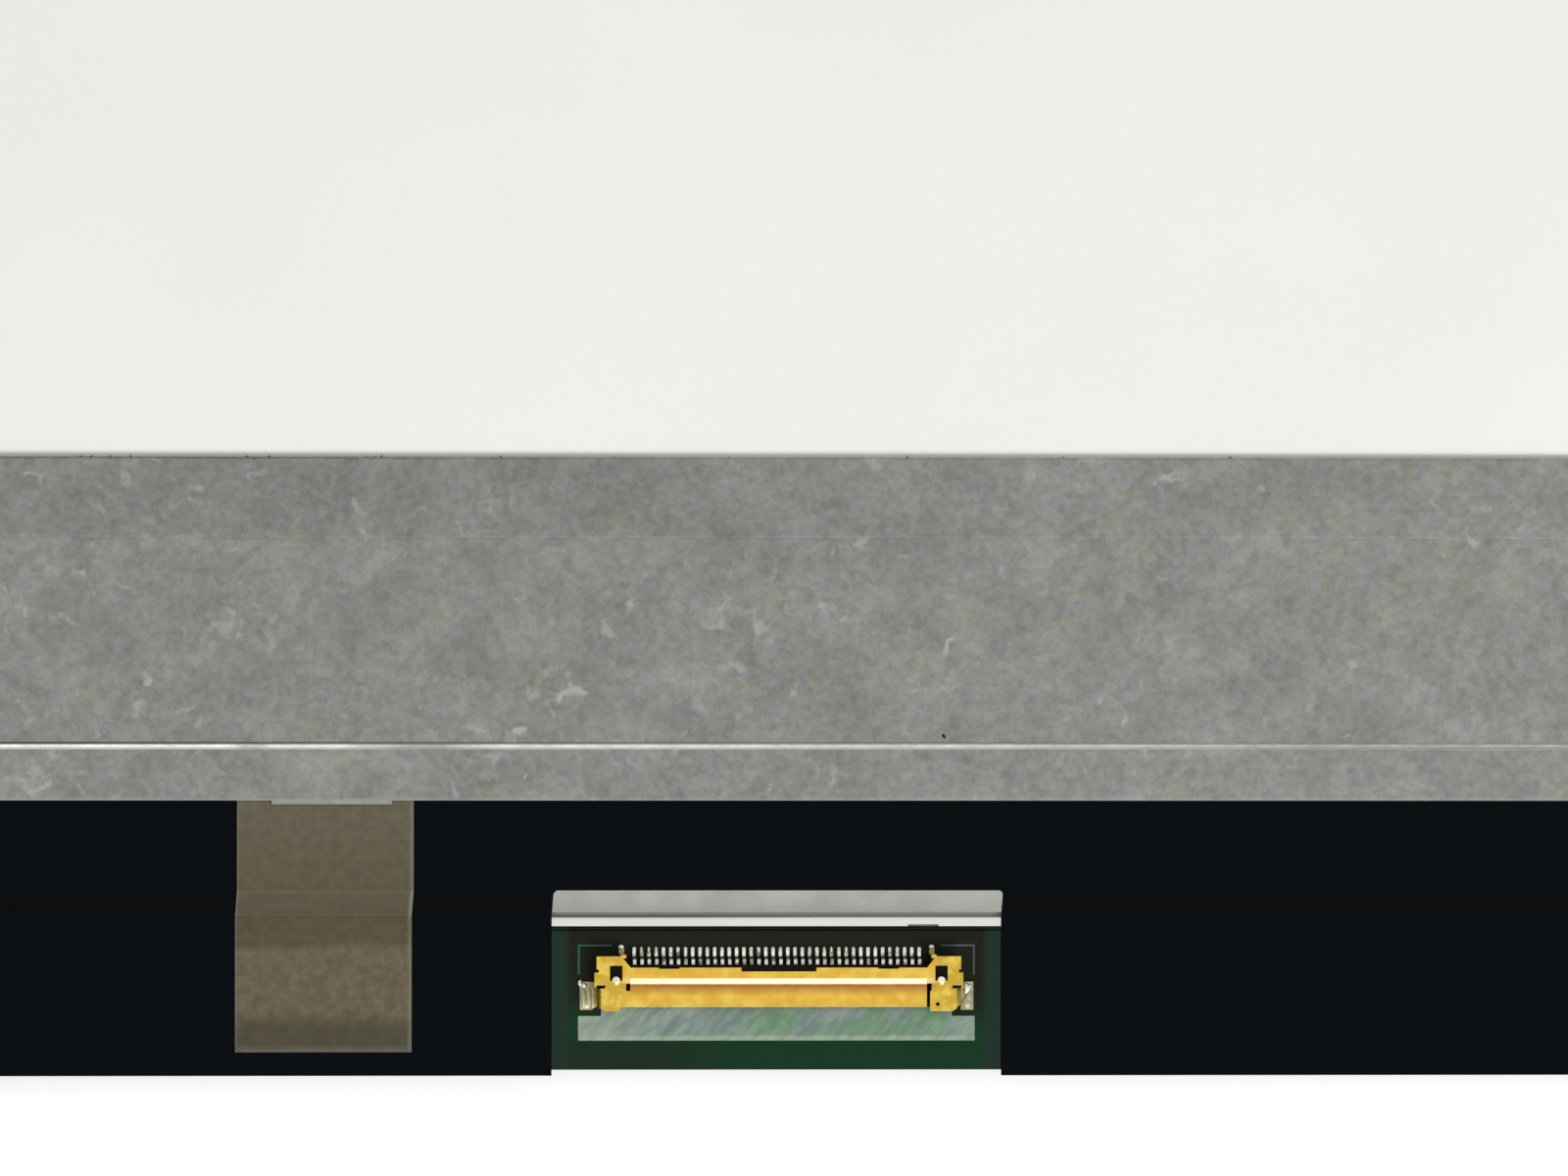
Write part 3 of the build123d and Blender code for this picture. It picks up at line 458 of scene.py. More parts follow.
def makeCloth():
    look = clothLook
    made, tree, shader, coords = startMaterial("conductiveCloth", 0.35, 0.55, 0.3)
    low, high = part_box("ground_tape")
    axes = addNode(tree, "SeparateXYZ", {0: coords}).outputs
    up = calc(tree, "SUBTRACT", axes[1], edgeY)
    scale, reach = look["wander"]
    up = calc(tree, "MULTIPLY_ADD", addNoise(tree, coords, scale), reach * mm, up)
    rise = remap(tree, up, *spanFrom(0.0, look["topSpan"]))
    colour = blendColours(tree, rise, look["middle"], look["top"])
    below = remap(tree, up, *spanFrom(0.0, look["change"]), 1.0, 0.0, smooth=True)
    colour = blendColours(tree, below, colour, look["low"])
    foot = remap(tree, up, *spanFrom(0.0, look["footSpan"]), 1.0, 0.0, smooth=True)
    colour = blendColours(tree, foot, colour, look["foot"])
    cloud = cloudMask(tree, coords, 1500.0, 0.3, 0.7)
    shade = remap(tree, cloud, 0.0, 1.0, *look["cloud"])
    colour = blendColours(tree, 1.0, colour, shade, "MULTIPLY")
    drift = cloudMask(tree, coords, 800.0, 0.35, 0.65)
    tint = blendColours(tree, drift, look["rosy"], look["leafy"])
    colour = blendColours(tree, 1.0, colour, tint, "MULTIPLY")
    # painted shade on the slope
    slope = band(tree, axes[1], *spanFrom(edgeY, look["slope"]), 0.09 * mm)
    slope = times(tree, slope, look["slopeShadeShare"])
    colour = blendColours(tree, slope, colour, look["slopePaintedShade"])
    pebbles = addNode(tree, "TexVoronoi", {"Vector": coords, "Scale": 1900.0}).outputs["Distance"]
    centreY, reach = look["pebbles"]
    near = calc(tree, "ABSOLUTE", calc(tree, "SUBTRACT", up, centreY * mm))
    patch = remap(tree, near, reach * 0.4 * mm, reach * mm, 1.0, 0.0, smooth=True)
    # painted shade between the pebbles of the patch
    paintedPitShade = times(tree, remap(tree, pebbles, 0.3, 0.75), patch, look["pitShare"])
    colour = blendColours(tree, paintedPitShade, colour, look["pitPaintedShade"])
    leftPale, rightPale, lowPale = look["rims"]
    leftRim = remap(tree, axes[0], *spanFrom(low.x, look["leftRim"]), leftPale, 0.0)
    rightRim = remap(tree, axes[0], *spanFrom(high.x, look["rightRim"]), 0.0, rightPale)
    lowRim = remap(tree, axes[1], *spanFrom(low.y, look["lowRim"]), lowPale, 0.0)
    rim = calc(tree, "MAXIMUM", calc(tree, "MAXIMUM", leftRim, rightRim), lowRim)
    colour = blendColours(tree, rim, colour, look["rim"])
    tree.links.new(colour, shader.inputs["Base Color"])
    threads = placeGroup(tree, weave, {"Vector": coords, "Threads": look["threads"]})["Height"]
    height = calc(tree, "ADD", threads, times(tree, pebbles, patch, look["pitDepth"]))
    setBump(tree, shader, height, 0.35, 0.02 * mm)
    return made


tinLook = {
    "dull": (0.13, 0.13, 0.09, 1),
    "bright": (0.80, 0.80, 0.72, 1),
    "bend": (3.48, 3.7),             # mm behind the mating face: painted shade at the contacts' bend
    # the colour of that painted shade at the bend
    "flux": (0.10, 0.10, 0.055, 1),
}


def makeContactTin():
    look = tinLook
    made, tree, shader, coords = startMaterial("contactTin", 1.0, 0.3, 0.5)
    axes = addNode(tree, "SeparateXYZ", {0: coords}).outputs
    cloud = cloudMask(tree, coords, 1500.0, 0.3, 0.62)
    colour = blendColours(tree, cloud, look["dull"], look["bright"])
    # painted shade at the contacts' bend
    flux = band(tree, axes[1], *spanFrom(matingFace, look["bend"]), 0.03 * mm)
    colour = blendColours(tree, flux, colour, look["flux"])
    tree.links.new(colour, shader.inputs["Base Color"])
    parts = addGrain(tree, coords, 6000.0, 1500.0, 0.5)
    setBump(tree, shader, parts["Height"], 0.3, 0.01 * mm)
    return made


def makePlain(name, dark, light, roughness=0.5, specular=0.5, metallic=0.0,
              scale=3000.0, waveScale=50.0, waveShare=1.0, bump=0.01, strength=0.3):
    # One tone with a little cloud in it and a fine grain
    made, tree, shader, coords = startMaterial(name, metallic, roughness, specular)
    parts = addGrain(tree, coords, scale, waveScale, waveShare)
    cloud = cloudMask(tree, coords, waveScale, 0.3, 0.7)
    share = calc(tree, "MULTIPLY_ADD", parts["Value"], 0.4, times(tree, cloud, 0.6))
    tree.links.new(blendColours(tree, share, dark, light), shader.inputs["Base Color"])
    setBump(tree, shader, parts["Height"], strength, bump * mm)
    return made


boardLook = {
    "upper": (0.0150, 0.0178, 0.0118, 1),
    "lower": (0.0100, 0.0400, 0.0180, 1),
    "shade": (0.0150, 0.0250, 0.0170, 1),
    "side": (0.0170, 0.0330, 0.0240, 1),
    "split": (3.4, 6.4),             # mm above the lower edge: green below, dark above
    "wander": 1.6,                   # mm that this border strays
    "shadeSpan": (-9.0, -2.0),       # mm from the connector: greyer at the left of the lower strip
    "shadeRows": (2.2, 3.2),
    "shadeShare": 0.75,
    "sideAt": (14.0, 14.5),          # mm from the connector's middle, to both sides
    "wallShadow": (9.78, 9.92),            # a dark line of painted shadow along the frame's wall
    "wallShadowTone": (0.001, 0.001, 0.001, 1),
    "wallShadowShare": 0.8,
    "roughness": 0.34,
}


def makeBoard():
    look = boardLook
    made, tree, shader, coords = startMaterial("solderMask", 0.0, look["roughness"], 0.02)
    axes = addNode(tree, "SeparateXYZ", {0: coords}).outputs
    up = calc(tree, "SUBTRACT", axes[1], edgeY)
    right = calc(tree, "SUBTRACT", axes[0], plugX)
    cloud = cloudMask(tree, coords, 160.0, 0.35, 0.65)
    shift = calc(tree, "MULTIPLY_ADD", cloud, look["wander"] * mm, up)
    rise = remap(tree, shift, *spanFrom(0.0, look["split"]), smooth=True)
    colour = blendColours(tree, rise, look["lower"], look["upper"])
    shade = remap(tree, right, *spanFrom(0.0, look["shadeSpan"]), look["shadeShare"], 0.0, smooth=True)
    shade = times(tree, shade, remap(tree, up, *spanFrom(0.0, look["shadeRows"]), 1.0, 0.0))
    colour = blendColours(tree, shade, colour, look["shade"])
    side = calc(tree, "ABSOLUTE", right)
    strip = remap(tree, side, *spanFrom(0.0, look["sideAt"]), smooth=True)
    colour = blendColours(tree, strip, colour, look["side"])
    # painted shadow along the frame's wall
    wallShadow = band(tree, up, *spanFrom(0.0, look["wallShadow"]), 0.03 * mm)
    wallShadow = times(tree, wallShadow, look["wallShadowShare"])
    colour = blendColours(tree, wallShadow, colour, look["wallShadowTone"])
    tree.links.new(colour, shader.inputs["Base Color"])
    parts = addGrain(tree, coords, 2000.0, 300.0, 1.0)
    setBump(tree, shader, parts["Height"], 0.2, 0.01 * mm)
    return made


goldLook = {
    "plain": (0.545, 0.33, 0.010, 1),
    "pale": (0.63, 0.44, 0.055, 1),
    # the colour of the painted shade below the step
    "deep": (0.30, 0.09, 0.0, 1),
    "crestHighlight": (0.64, 0.50, 0.21, 1),
    "block": (0.45, 0.295, 0.005, 1),
    "paleBlock": (0.60, 0.44, 0.06, 1),
    "soldered": (0.32, 0.34, 0.19, 1),
    "tinned": (0.30, 0.25, 0.10, 1),
    "under": (1.0, 1.77),            # mm behind the mating face: painted shade below the step
    "underEnd": (1.89, 1.92),
    "underShare": (0.7, 1.0),
    "crestSpan": (1.86, 2.24),       # and the step's edge, with a painted highlight
    "blockAt": (10.2, 11.0),         # mm from the connector's middle, to both sides
    "outerAt": (12.8, 13.1),
    "solderRise": (0.16, 0.24),      # mm above the board: what lies lower is soldered
    "roughness": 0.62,
    "coat": (1.0, 0.13, 1.5),        # weight, roughness and index of the clear skin
}


def makeGold():
    look = goldLook
    made, tree, shader, coords = startMaterial("goldPlate", 1.0, look["roughness"], 0.5)
    for socket, value in zip(("Coat Weight", "Coat Roughness", "Coat IOR"), look["coat"]):
        shader.inputs[socket].default_value = value
    axes = addNode(tree, "SeparateXYZ", {0: coords}).outputs
    up = calc(tree, "SUBTRACT", axes[1], matingFace)
    cloud = cloudMask(tree, coords, 900.0, 0.35, 0.7)
    colour = blendColours(tree, cloud, look["plain"], look["pale"])
    side = calc(tree, "ABSOLUTE", calc(tree, "SUBTRACT", axes[0], plugX))
    block = remap(tree, side, *spanFrom(0.0, look["blockAt"]))
    flat = calc(tree, "SUBTRACT", 1.0, block)
    spots = cloudMask(tree, coords, 1300.0, 0.46, 0.68)
    blockTone = blendColours(tree, spots, look["block"], look["paleBlock"])
    colour = blendColours(tree, block, colour, blockTone)
    # painted shade below the step
    rise = remap(tree, up, *spanFrom(0.0, look["under"]))
    fall = remap(tree, up, *spanFrom(0.0, look["underEnd"]), 1.0, 0.0)
    shade = remap(tree, cloudMask(tree, coords, 400.0, 0.2, 0.45), 0.0, 1.0, *look["underShare"])
    colour = blendColours(tree, times(tree, rise, fall, flat, shade), colour, look["deep"])
    # painted highlight on the step's edge
    crestHighlight = band(tree, up, *spanFrom(0.0, look["crestSpan"]), 0.05 * mm)
    colour = blendColours(tree, times(tree, crestHighlight, flat), colour, look["crestHighlight"])
    outer = remap(tree, side, *spanFrom(0.0, look["outerAt"]))
    foot = blendColours(tree, outer, look["tinned"], look["soldered"])
    soldered = remap(tree, axes[2], *spanFrom(boardTop, look["solderRise"]), 1.0, 0.0)
    colour = blendColours(tree, soldered, colour, foot)
    tree.links.new(colour, shader.inputs["Base Color"])
    parts = addGrain(tree, coords, 5000.0, 700.0, 2.0)
    setBump(tree, shader, parts["Height"], 0.25, 0.004 * mm)
    return made


padLook = {
    "green": (0.135, 0.235, 0.145, 1),
    "blue": (0.17, 0.22, 0.205, 1),
    "pale": (0.29, 0.35, 0.265, 1),
    "speck": (0.24, 0.15, 0.13, 1),
    "speckShare": 0.5,
    "roughness": 0.4,
    "aslant": -0.75,                 # radians: the way it was wiped
    "leftEnd": (1.5, 5.0),           # mm from that edge of the pad: barer tin
    "rightEnd": (-1.6, -0.4),
    "lowRim": (0.22, 0.45),
    "bareness": (1.0, 0.9, 0.7),
    "wipedSpan": (8.0, 13.0),        # mm from the left edge: streaks, and fewer further on
    "wiped": (0.5, 0.16),
    "fine": (0.88, 1.16),
}


def makeTinnedPad():
    look = padLook
    made, tree, shader, coords = startMaterial("tinnedPad", 0.9, look["roughness"], 0.5)
    turned = addNode(tree, "Mapping", {"Vector": coords, "Rotation": (0.0, 0.0, look["aslant"]),
                                       "Scale": (1.0, 3.0, 1.0)}, vector_type="TEXTURE").outputs[0]
    streaks = cloudMask(tree, turned, 900.0, 0.44, 0.66)
    cloud = cloudMask(tree, turned, 620.0, 0.38, 0.62, 4.0)
    specks = cloudMask(tree, coords, 1500.0, 0.6, 0.72)
    colour = blendColours(tree, cloud, look["green"], look["blue"])
    colour = blendColours(tree, times(tree, specks, look["speckShare"]), colour, look["speck"])
    low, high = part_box("ground_pad")
    axes = addNode(tree, "SeparateXYZ", {0: coords}).outputs
    along, up = axes[:2]
    leftBare, rightBare, lowBare = look["bareness"]
    leftEnd = remap(tree, along, *spanFrom(low.x, look["leftEnd"]), leftBare, 0.0)
    rightEnd = remap(tree, along, *spanFrom(high.x, look["rightEnd"]), 0.0, rightBare)
    rim = remap(tree, up, *spanFrom(low.y, look["lowRim"]), lowBare, 0.0)
    wiped = remap(tree, along, *spanFrom(low.x, look["wipedSpan"]), *look["wiped"])
    ends = calc(tree, "MAXIMUM", leftEnd, rightEnd)
    bare = calc(tree, "MULTIPLY_ADD", ends, 0.5, times(tree, streaks, wiped))
    colour = blendColours(tree, calc(tree, "MAXIMUM", bare, rim), colour, look["pale"])
    fine = remap(tree, cloudMask(tree, turned, 2300.0, 0.3, 0.7), 0.0, 1.0, *look["fine"])
    colour = blendColours(tree, 1.0, colour, fine, "MULTIPLY")
    tree.links.new(colour, shader.inputs["Base Color"])
    setBump(tree, shader, streaks, 0.2, 0.01 * mm)
    return made


railLook = {
    "dark": (0.128, 0.133, 0.121, 1),
    "light": (0.175, 0.180, 0.166, 1),
    "foot": (0.115, 0.12, 0.108, 1),
    "fall": (10.6, 12.4),            # mm above the lower edge: painted shade at the foot, fading out towards the bend
    "footShadeShare": 0.7,
    "groove": (10.84, 11.0),         # painted shade where it meets the moulding
    "grooveShadeShare": 0.12,
    "paintedGrooveShade": (0.02, 0.02, 0.018, 1),
    "roughness": 0.5,
}


def makeRail():
    look = railLook
    made, tree, shader, coords = startMaterial("millAluminium", 0.8, look["roughness"], 0.5)
    parts = addGrain(tree, coords, 3000.0, 420.0, 1.0)
    cloud = cloudMask(tree, coords, 420.0, 0.3, 0.7)
    share = calc(tree, "MULTIPLY_ADD", parts["Value"], 0.4, times(tree, cloud, 0.6))
    colour = blendColours(tree, share, look["dark"], look["light"])
    axes = addNode(tree, "SeparateXYZ", {0: coords}).outputs
    up = axes[1]
    # painted shade at the rail's foot and in the groove
    foot = remap(tree, up, *spanFrom(edgeY, look["fall"]), look["footShadeShare"], 0.0, smooth=True)
    colour = blendColours(tree, foot, colour, look["foot"])
    groove = remap(tree, up, *spanFrom(edgeY, look["groove"]), look["grooveShadeShare"], 0.0)
    colour = blendColours(tree, groove, colour, look["paintedGrooveShade"])
    tree.links.new(colour, shader.inputs["Base Color"])
    setBump(tree, shader, parts["Height"], 0.3, 0.01 * mm)
    return made


frameLook = {
    "dark": (0.72, 0.73, 0.69, 1),
    "light": (0.78, 0.79, 0.755, 1),
    "paintedGrooveShade": (0.12, 0.12, 0.10, 1),
    "edge": (10.53, 10.74),          # mm above the lower edge: painted shade on the wall's upper edge, beside the groove
    "edgeEnd": (10.80, 10.88),
    "shareSpan": (-6.0, 4.0),        # mm from the connector
    "edgeShare": (0.6, 0.3),         # how strong the painted shade is to the left and to the right
}


def makeWhiteFrame():
    look = frameLook
    made = makePlain("whiteMoulding", look["dark"], look["light"], 0.4, 0.3)
    tree = made.node_tree
    target = tree.nodes["Principled BSDF"].inputs["Base Color"]
    coords = addNode(tree, "TexCoord").outputs["Object"]
    axes = addNode(tree, "SeparateXYZ", {0: coords}).outputs
    along, up = axes[:2]
    rise = remap(tree, up, *spanFrom(edgeY, look["edge"]))
    fall = remap(tree, up, *spanFrom(edgeY, look["edgeEnd"]), 1.0, 0.0)
    share = remap(tree, along, *spanFrom(plugX, look["shareSpan"]), *look["edgeShare"])
    # painted shade along the wall's upper edge
    paintedGrooveShade = times(tree, rise, fall, share)
    colour = blendColours(tree, paintedGrooveShade, target.links[0].from_socket, look["paintedGrooveShade"])
    tree.links.new(colour, target)
    return made


materials = {
    "coverSteel": makeSteel("coverSteel", True),
    "bracketSteel": makeSteel("bracketSteel", False),
    "blackTape": makeBlackTape(),
    "cloth": makeCloth(),
    "board": makeBoard(),
    "gold": makeGold(),
    "pad": makeTinnedPad(),
    "contactTin": makeContactTin(),
    "reflector": makePlain("whiteFoil", (0.915, 0.897, 0.86, 1), (0.945, 0.93, 0.897, 1), 0.45, 0.2,
                           scale=1500.0, waveScale=35.0, waveShare=4.0, bump=0.02, strength=0.1),
    "whiteFrame": makeWhiteFrame(),
    "rail": makeRail(),
    "darkMoulding": makePlain("darkMoulding", (0.004, 0.0035, 0.0035, 1), (0.008, 0.007, 0.006, 1),
                              0.5, 0.04),
    "tinned": makePlain("tinPlate", (0.62, 0.62, 0.56, 1), (0.9, 0.9, 0.84, 1), 0.3, 0.5,
                        metallic=1.0, scale=6000.0, waveScale=1500.0),
    "screenFilm": makePlain("antiGlareFilm", (0.006, 0.0065, 0.0075, 1), (0.009, 0.0095, 0.0105, 1),
                            0.38, 0.3, scale=9000.0, waveScale=20.0, waveShare=0.0, bump=0.004),
    "opticalFilm": makePlain("opticalFilm", (0.78, 0.8, 0.8, 1), (0.85, 0.87, 0.87, 1), 0.35, 0.4),
    "acrylic": makePlain("acrylicPlate", (0.8, 0.86, 0.85, 1), (0.84, 0.9, 0.88, 1), 0.1, 0.5,
                         bump=0.001),
    "cellGlass": makePlain("cellGlass", (0.10, 0.13, 0.125, 1), (0.12, 0.155, 0.15, 1), 0.08, 0.5,
                           bump=0.0005),
    "ledBody": makePlain("ledBody", (0.8, 0.76, 0.5, 1), (0.88, 0.84, 0.6, 1), 0.4, 0.4),
    "flexFilm": makePlain("flexFilm", (0.22, 0.095, 0.02, 1), (0.32, 0.15, 0.035, 1), 0.3, 0.4,
                          waveScale=500.0),
    "foam": makePlain("foamTape", (0.03, 0.03, 0.03, 1), (0.05, 0.05, 0.05, 1), 0.9, 0.1),
    "chip": makePlain("chipBody", (0.012, 0.012, 0.013, 1), (0.02, 0.02, 0.021, 1), 0.55, 0.25,
                      scale=4000.0),
    "solder": makePlain("solder", (0.46, 0.47, 0.41, 1), (0.72, 0.72, 0.64, 1), 0.28, 0.5,
                        metallic=1.0, scale=6000.0, waveScale=1400.0, bump=0.012),
    "dullSolder": makePlain("dullSolder", (0.22, 0.20, 0.115, 1), (0.40, 0.40, 0.26, 1), 0.48, 0.5,
                            metallic=0.8, scale=5000.0, waveScale=1100.0, bump=0.012),
    "flux": makePlain("flux", (0.16, 0.105, 0.012, 1), (0.30, 0.22, 0.05, 1), 0.5, 0.5,
                      metallic=0.8, scale=5000.0, waveScale=1100.0, bump=0.012),
    "ink": makePlain("boardInk", (0.024, 0.08, 0.062, 1), (0.055, 0.14, 0.108, 1), 0.6, 0.1,
                     waveScale=900.0),
    "paleInk": makePlain("paleInk", (0.06, 0.065, 0.06, 1), (0.11, 0.115, 0.105, 1), 0.6, 0.1,
                         waveScale=900.0),
    # dark burrs along the cover's edge, partly painted shade
    "burr": makePlain("burrsAndPaintedShade", (0.03, 0.03, 0.025, 1), (0.12, 0.12, 0.1, 1), 0.5, 0.3,
                      waveScale=2500.0),
    "speck": makePlain("speck", (0.004, 0.004, 0.004, 1), (0.012, 0.012, 0.012, 1), 0.6, 0.1),
    "ceramic": makePlain("ceramicBody", (0.26, 0.17, 0.09, 1), (0.36, 0.25, 0.14, 1), 0.5, 0.3),
}
print("materials made:", len(materials))

finishes = {
    "lower_cover": "coverSteel", "left_bracket": "bracketSteel", "right_bracket": "bracketSteel",
    "top_bracket": "bracketSteel", "rear_tape": "blackTape", "front_tape": "blackTape",
    "cell_tape": "blackTape", "ground_tape": "cloth", "driver_board": "board",
    "connector_shell": "gold", "ground_pad": "pad", "reflector_sheet": "reflector",
    "moulded_frame": "whiteFrame", "led_rail": "rail", "connector_housing": "darkMoulding",
    "connector_contacts": "contactTin", "front_polariser": "screenFilm", "rear_polariser": "screenFilm",
    "upper_prism_film": "opticalFilm", "lower_prism_film": "opticalFilm",
    "diffuser_film": "opticalFilm", "light_guide": "acrylic", "colour_filter_glass": "cellGlass",
    "array_glass": "cellGlass", "leds": "ledBody", "led_strip": "flexFilm",
    "driver_films": "flexFilm", "cover_adhesive": "foam", "driver_chips": "chip",
    "timing_chip": "chip", "power_chip": "chip", "power_coil": "chip", "capacitors": "ceramic",
}
for name, finish in finishes.items():
    nodes[name].data.materials.clear()
    nodes[name].data.materials.append(materials[finish])


# Rounded edges on the stamped and moulded pieces, in mm
edgeRounds = {
    "lower_cover": 0.07, "left_bracket": 0.05, "right_bracket": 0.05, "top_bracket": 0.05,
    "connector_shell": 0.025, "connector_housing": 0.015, "driver_board": 0.02, "led_rail": 0.05,
    "rear_tape": 0.015, "ground_tape": 0.015,
}


def roundEdges(name, width):
    # Loose triangles are joined and flattened before their edges are rounded
    piece = nodes[name]
    join = piece.modifiers.new("join", "WELD")
    join.merge_threshold = 0.001 * mm
    flatten = piece.modifiers.new("flatten", "DECIMATE")
    flatten.decimate_type = "DISSOLVE"
    flatten.angle_limit = math.radians(0.3)
    bevel = piece.modifiers.new("round", "BEVEL")
    bevel.width = width * mm
    bevel.segments = 2
    bevel.limit_method = "ANGLE"
    bevel.angle_limit = math.radians(25)
    bevel.harden_normals = False


for name, width in edgeRounds.items():
    roundEdges(name, width)
print("edges rounded")


# Solder, printed marks and other small pieces

def deselect():
    bpy.ops.object.select_all(action="DESELECT")


def copyPiece(piece):
    made = piece.copy()
    made.data = piece.data.copy()
    bpy.context.collection.objects.link(made)
    return made


def joinPieces(pieces, name):
    deselect()
    for piece in pieces:
        piece.select_set(True)
    bpy.context.view_layer.objects.active = pieces[0]
    if len(pieces) > 1:
        bpy.ops.object.join()
    bpy.ops.object.transform_apply(location=True, rotation=True, scale=True)
    pieces[0].name = name
    return pieces[0]


def finishPiece(piece, finish, smooth=True):
    piece.data.materials.clear()
    piece.data.materials.append(materials[finish])
    deselect()
    piece.select_set(True)
    bpy.context.view_layer.objects.active = piece
    if smooth:
        bpy.ops.object.shade_smooth_by_angle(angle=math.radians(40))
    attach(piece, "root")


def addMound(right, up, size, turn=0.0, sink=0.35):
    # A drop of solder that stands on the board; its size is length, width and height in mm
    x, y = boardPlace(right, up)
    length, width, height = (s * mm for s in size)
    deselect()
    bpy.ops.mesh.primitive_uv_sphere_add(segments=14, ring_count=9, radius=0.5)
    mound = bpy.context.object
    bpy.ops.object.mode_set(mode="EDIT")
    bpy.ops.mesh.select_all(action="SELECT")
    bpy.ops.mesh.bisect(plane_co=(0, 0, sink - 0.5), plane_no=(0, 0, 1), clear_inner=True,
                        use_fill=True)
    bpy.ops.mesh.select_all(action="SELECT")
    bpy.ops.transform.translate(value=(0, 0, 0.5 - sink))
    bpy.ops.object.mode_set(mode="OBJECT")
    mound.scale = (length, width, height / (1.0 - sink))
    mound.rotation_euler = (0, 0, math.radians(turn))
    mound.location = (x, y, boardTop)
    return mound


solderLook = {
    "pins": 40,
    "pitch": 0.5,
    "tail": (4.14, 0.17, 0.5, 0.15),           # behind the mating face, width, length and height
    "legs": ((10.6, 8.7), (-10.64, 8.7)),      # mm from the connector's middle and the lower edge
    "legDrop": (0.44, 0.4, 0.24),
    "sink": 0.3,                               # the share of each mound that is cut off below
    # place, width, length, height and turn of each mound on the hold-downs
    "bright": ((-13.2, 6.1, 0.52, 0.4, 0.3, 8.0), (-13.44, 6.26, 0.36, 0.5, 0.2, 0.0),
               (12.98, 5.95, 0.5, 0.8, 0.34, 30.0),
               (13.08, 5.85, 0.45, 0.85, 0.32, -40.0)),
    "dull": ((-13.22, 5.3, 0.45, 1.6, 0.24, 0.0), (-12.85, 5.3, 0.45, 1.6, 0.22, 0.0),
             (-12.56, 5.3, 0.4, 1.55, 0.16, 0.0),
             (-13.03, 4.85, 0.8, 0.7, 0.2, 0.0), (13.03, 4.95, 0.8, 0.9, 0.24, 0.0),
             (13.15, 5.45, 0.55, 1.2, 0.24, 0.0)),
    "flux": ((-12.4, 5.4, 0.62, 1.6, 0.14, 0.0), (12.42, 5.3, 0.5, 1.3, 0.12, 0.0)),
    "tips": ((-11.13, 6.44), (11.13, 6.44)),
    "tip": (0.5, 0.48, 0.1),
    "tipDrop": 0.1,                            # mm below the shell's highest face
}


def addMounds(rows):
    return [addMound(right, up, (wide, deep, high), turn, solderLook["sink"])
            for right, up, wide, deep, high, turn in rows]


def makeSolder():
    look = solderLook
    behind, width, length, height = look["tail"]
    row = (matingFace - edgeY) / mm + behind
    first = addMound(-(look["pins"] - 1) * look["pitch"] / 2, row, (width, length, height))
    drops = [first]
    for n in range(1, look["pins"]):
        drop = copyPiece(first)
        drop.location.x += n * look["pitch"] * mm
        drops.append(drop)
    drops += [addMound(right, up, look["legDrop"], 0.0, look["sink"]) for right, up in look["legs"]]
    drops += addMounds(look["bright"])
    finishPiece(joinPieces(drops, "solder"), "solder")
    finishPiece(joinPieces(addMounds(look["dull"]), "holdDownSolder"), "dullSolder")
    finishPiece(joinPieces(addMounds(look["flux"]), "holdDownFlux"), "flux")
    tips = [addMound(right, up, look["tip"]) for right, up in look["tips"]]
    for tip in tips:
        tip.location.z = shellHigh.z - look["tipDrop"] * mm
    finishPiece(joinPieces(tips, "latchTips"), "tinned")


inkLook = {
    "stroke": 0.12,
    "thickness": 0.012,
    "lift": 0.002,                   # mm above the board
    # place, reach across and down, and finish of each mark
    "corners": ((-13.52, 8.8, 2.2, 1.9, "ink"), (13.52, 8.8, -2.2, 1.9, "paleInk")),
}


def makeInk():
    # Two plain corner marks printed on the board
    for right, up, across, down, finish in inkLook["corners"]:
        x, y = boardPlace(right, up)
        stroke = inkLook["stroke"] * mm
        slack = 0.01 * stroke
        deselect()
        place = (x, y, boardTop + inkLook["lift"] * mm)
        bpy.ops.mesh.primitive_plane_add(size=stroke, location=place)
        mark = bpy.context.object
        towards = 1 if across > 0 else -1
        for axis, sign, reach in ((0, towards, abs(across)), (1, -1, down)):
            bpy.ops.object.mode_set(mode="OBJECT")
            for part in (mark.data.vertices, mark.data.edges, mark.data.polygons):
                for item in part:
                    item.select = False
            for edge in mark.data.edges:
                ends = [mark.data.vertices[v].co[axis] * sign for v in edge.vertices]
                other = [abs(mark.data.vertices[v].co[1 - axis]) for v in edge.vertices]
                atEnd = all(abs(end - stroke / 2) < slack for end in ends)
                if atEnd and max(other) < stroke / 2 + slack:
                    edge.select = True
                    for v in edge.vertices:
                        mark.data.vertices[v].select = True
            bpy.ops.object.mode_set(mode="EDIT")
            bpy.ops.mesh.select_mode(type="EDGE")
            move = [0.0, 0.0, 0.0]
            move[axis] = sign * reach * mm
            bpy.ops.mesh.extrude_region_move(TRANSFORM_OT_translate={"value": move})
        bpy.ops.object.mode_set(mode="OBJECT")
        solid = mark.modifiers.new("thickness", "SOLIDIFY")
        solid.thickness = inkLook["thickness"] * mm
        solid.offset = 1.0
        bpy.context.view_layer.objects.active = mark
        bpy.ops.object.modifier_apply(modifier=solid.name)
        name = "leftMark" if across > 0 else "rightMark"
        finishPiece(joinPieces([mark], name), finish, smooth=False)


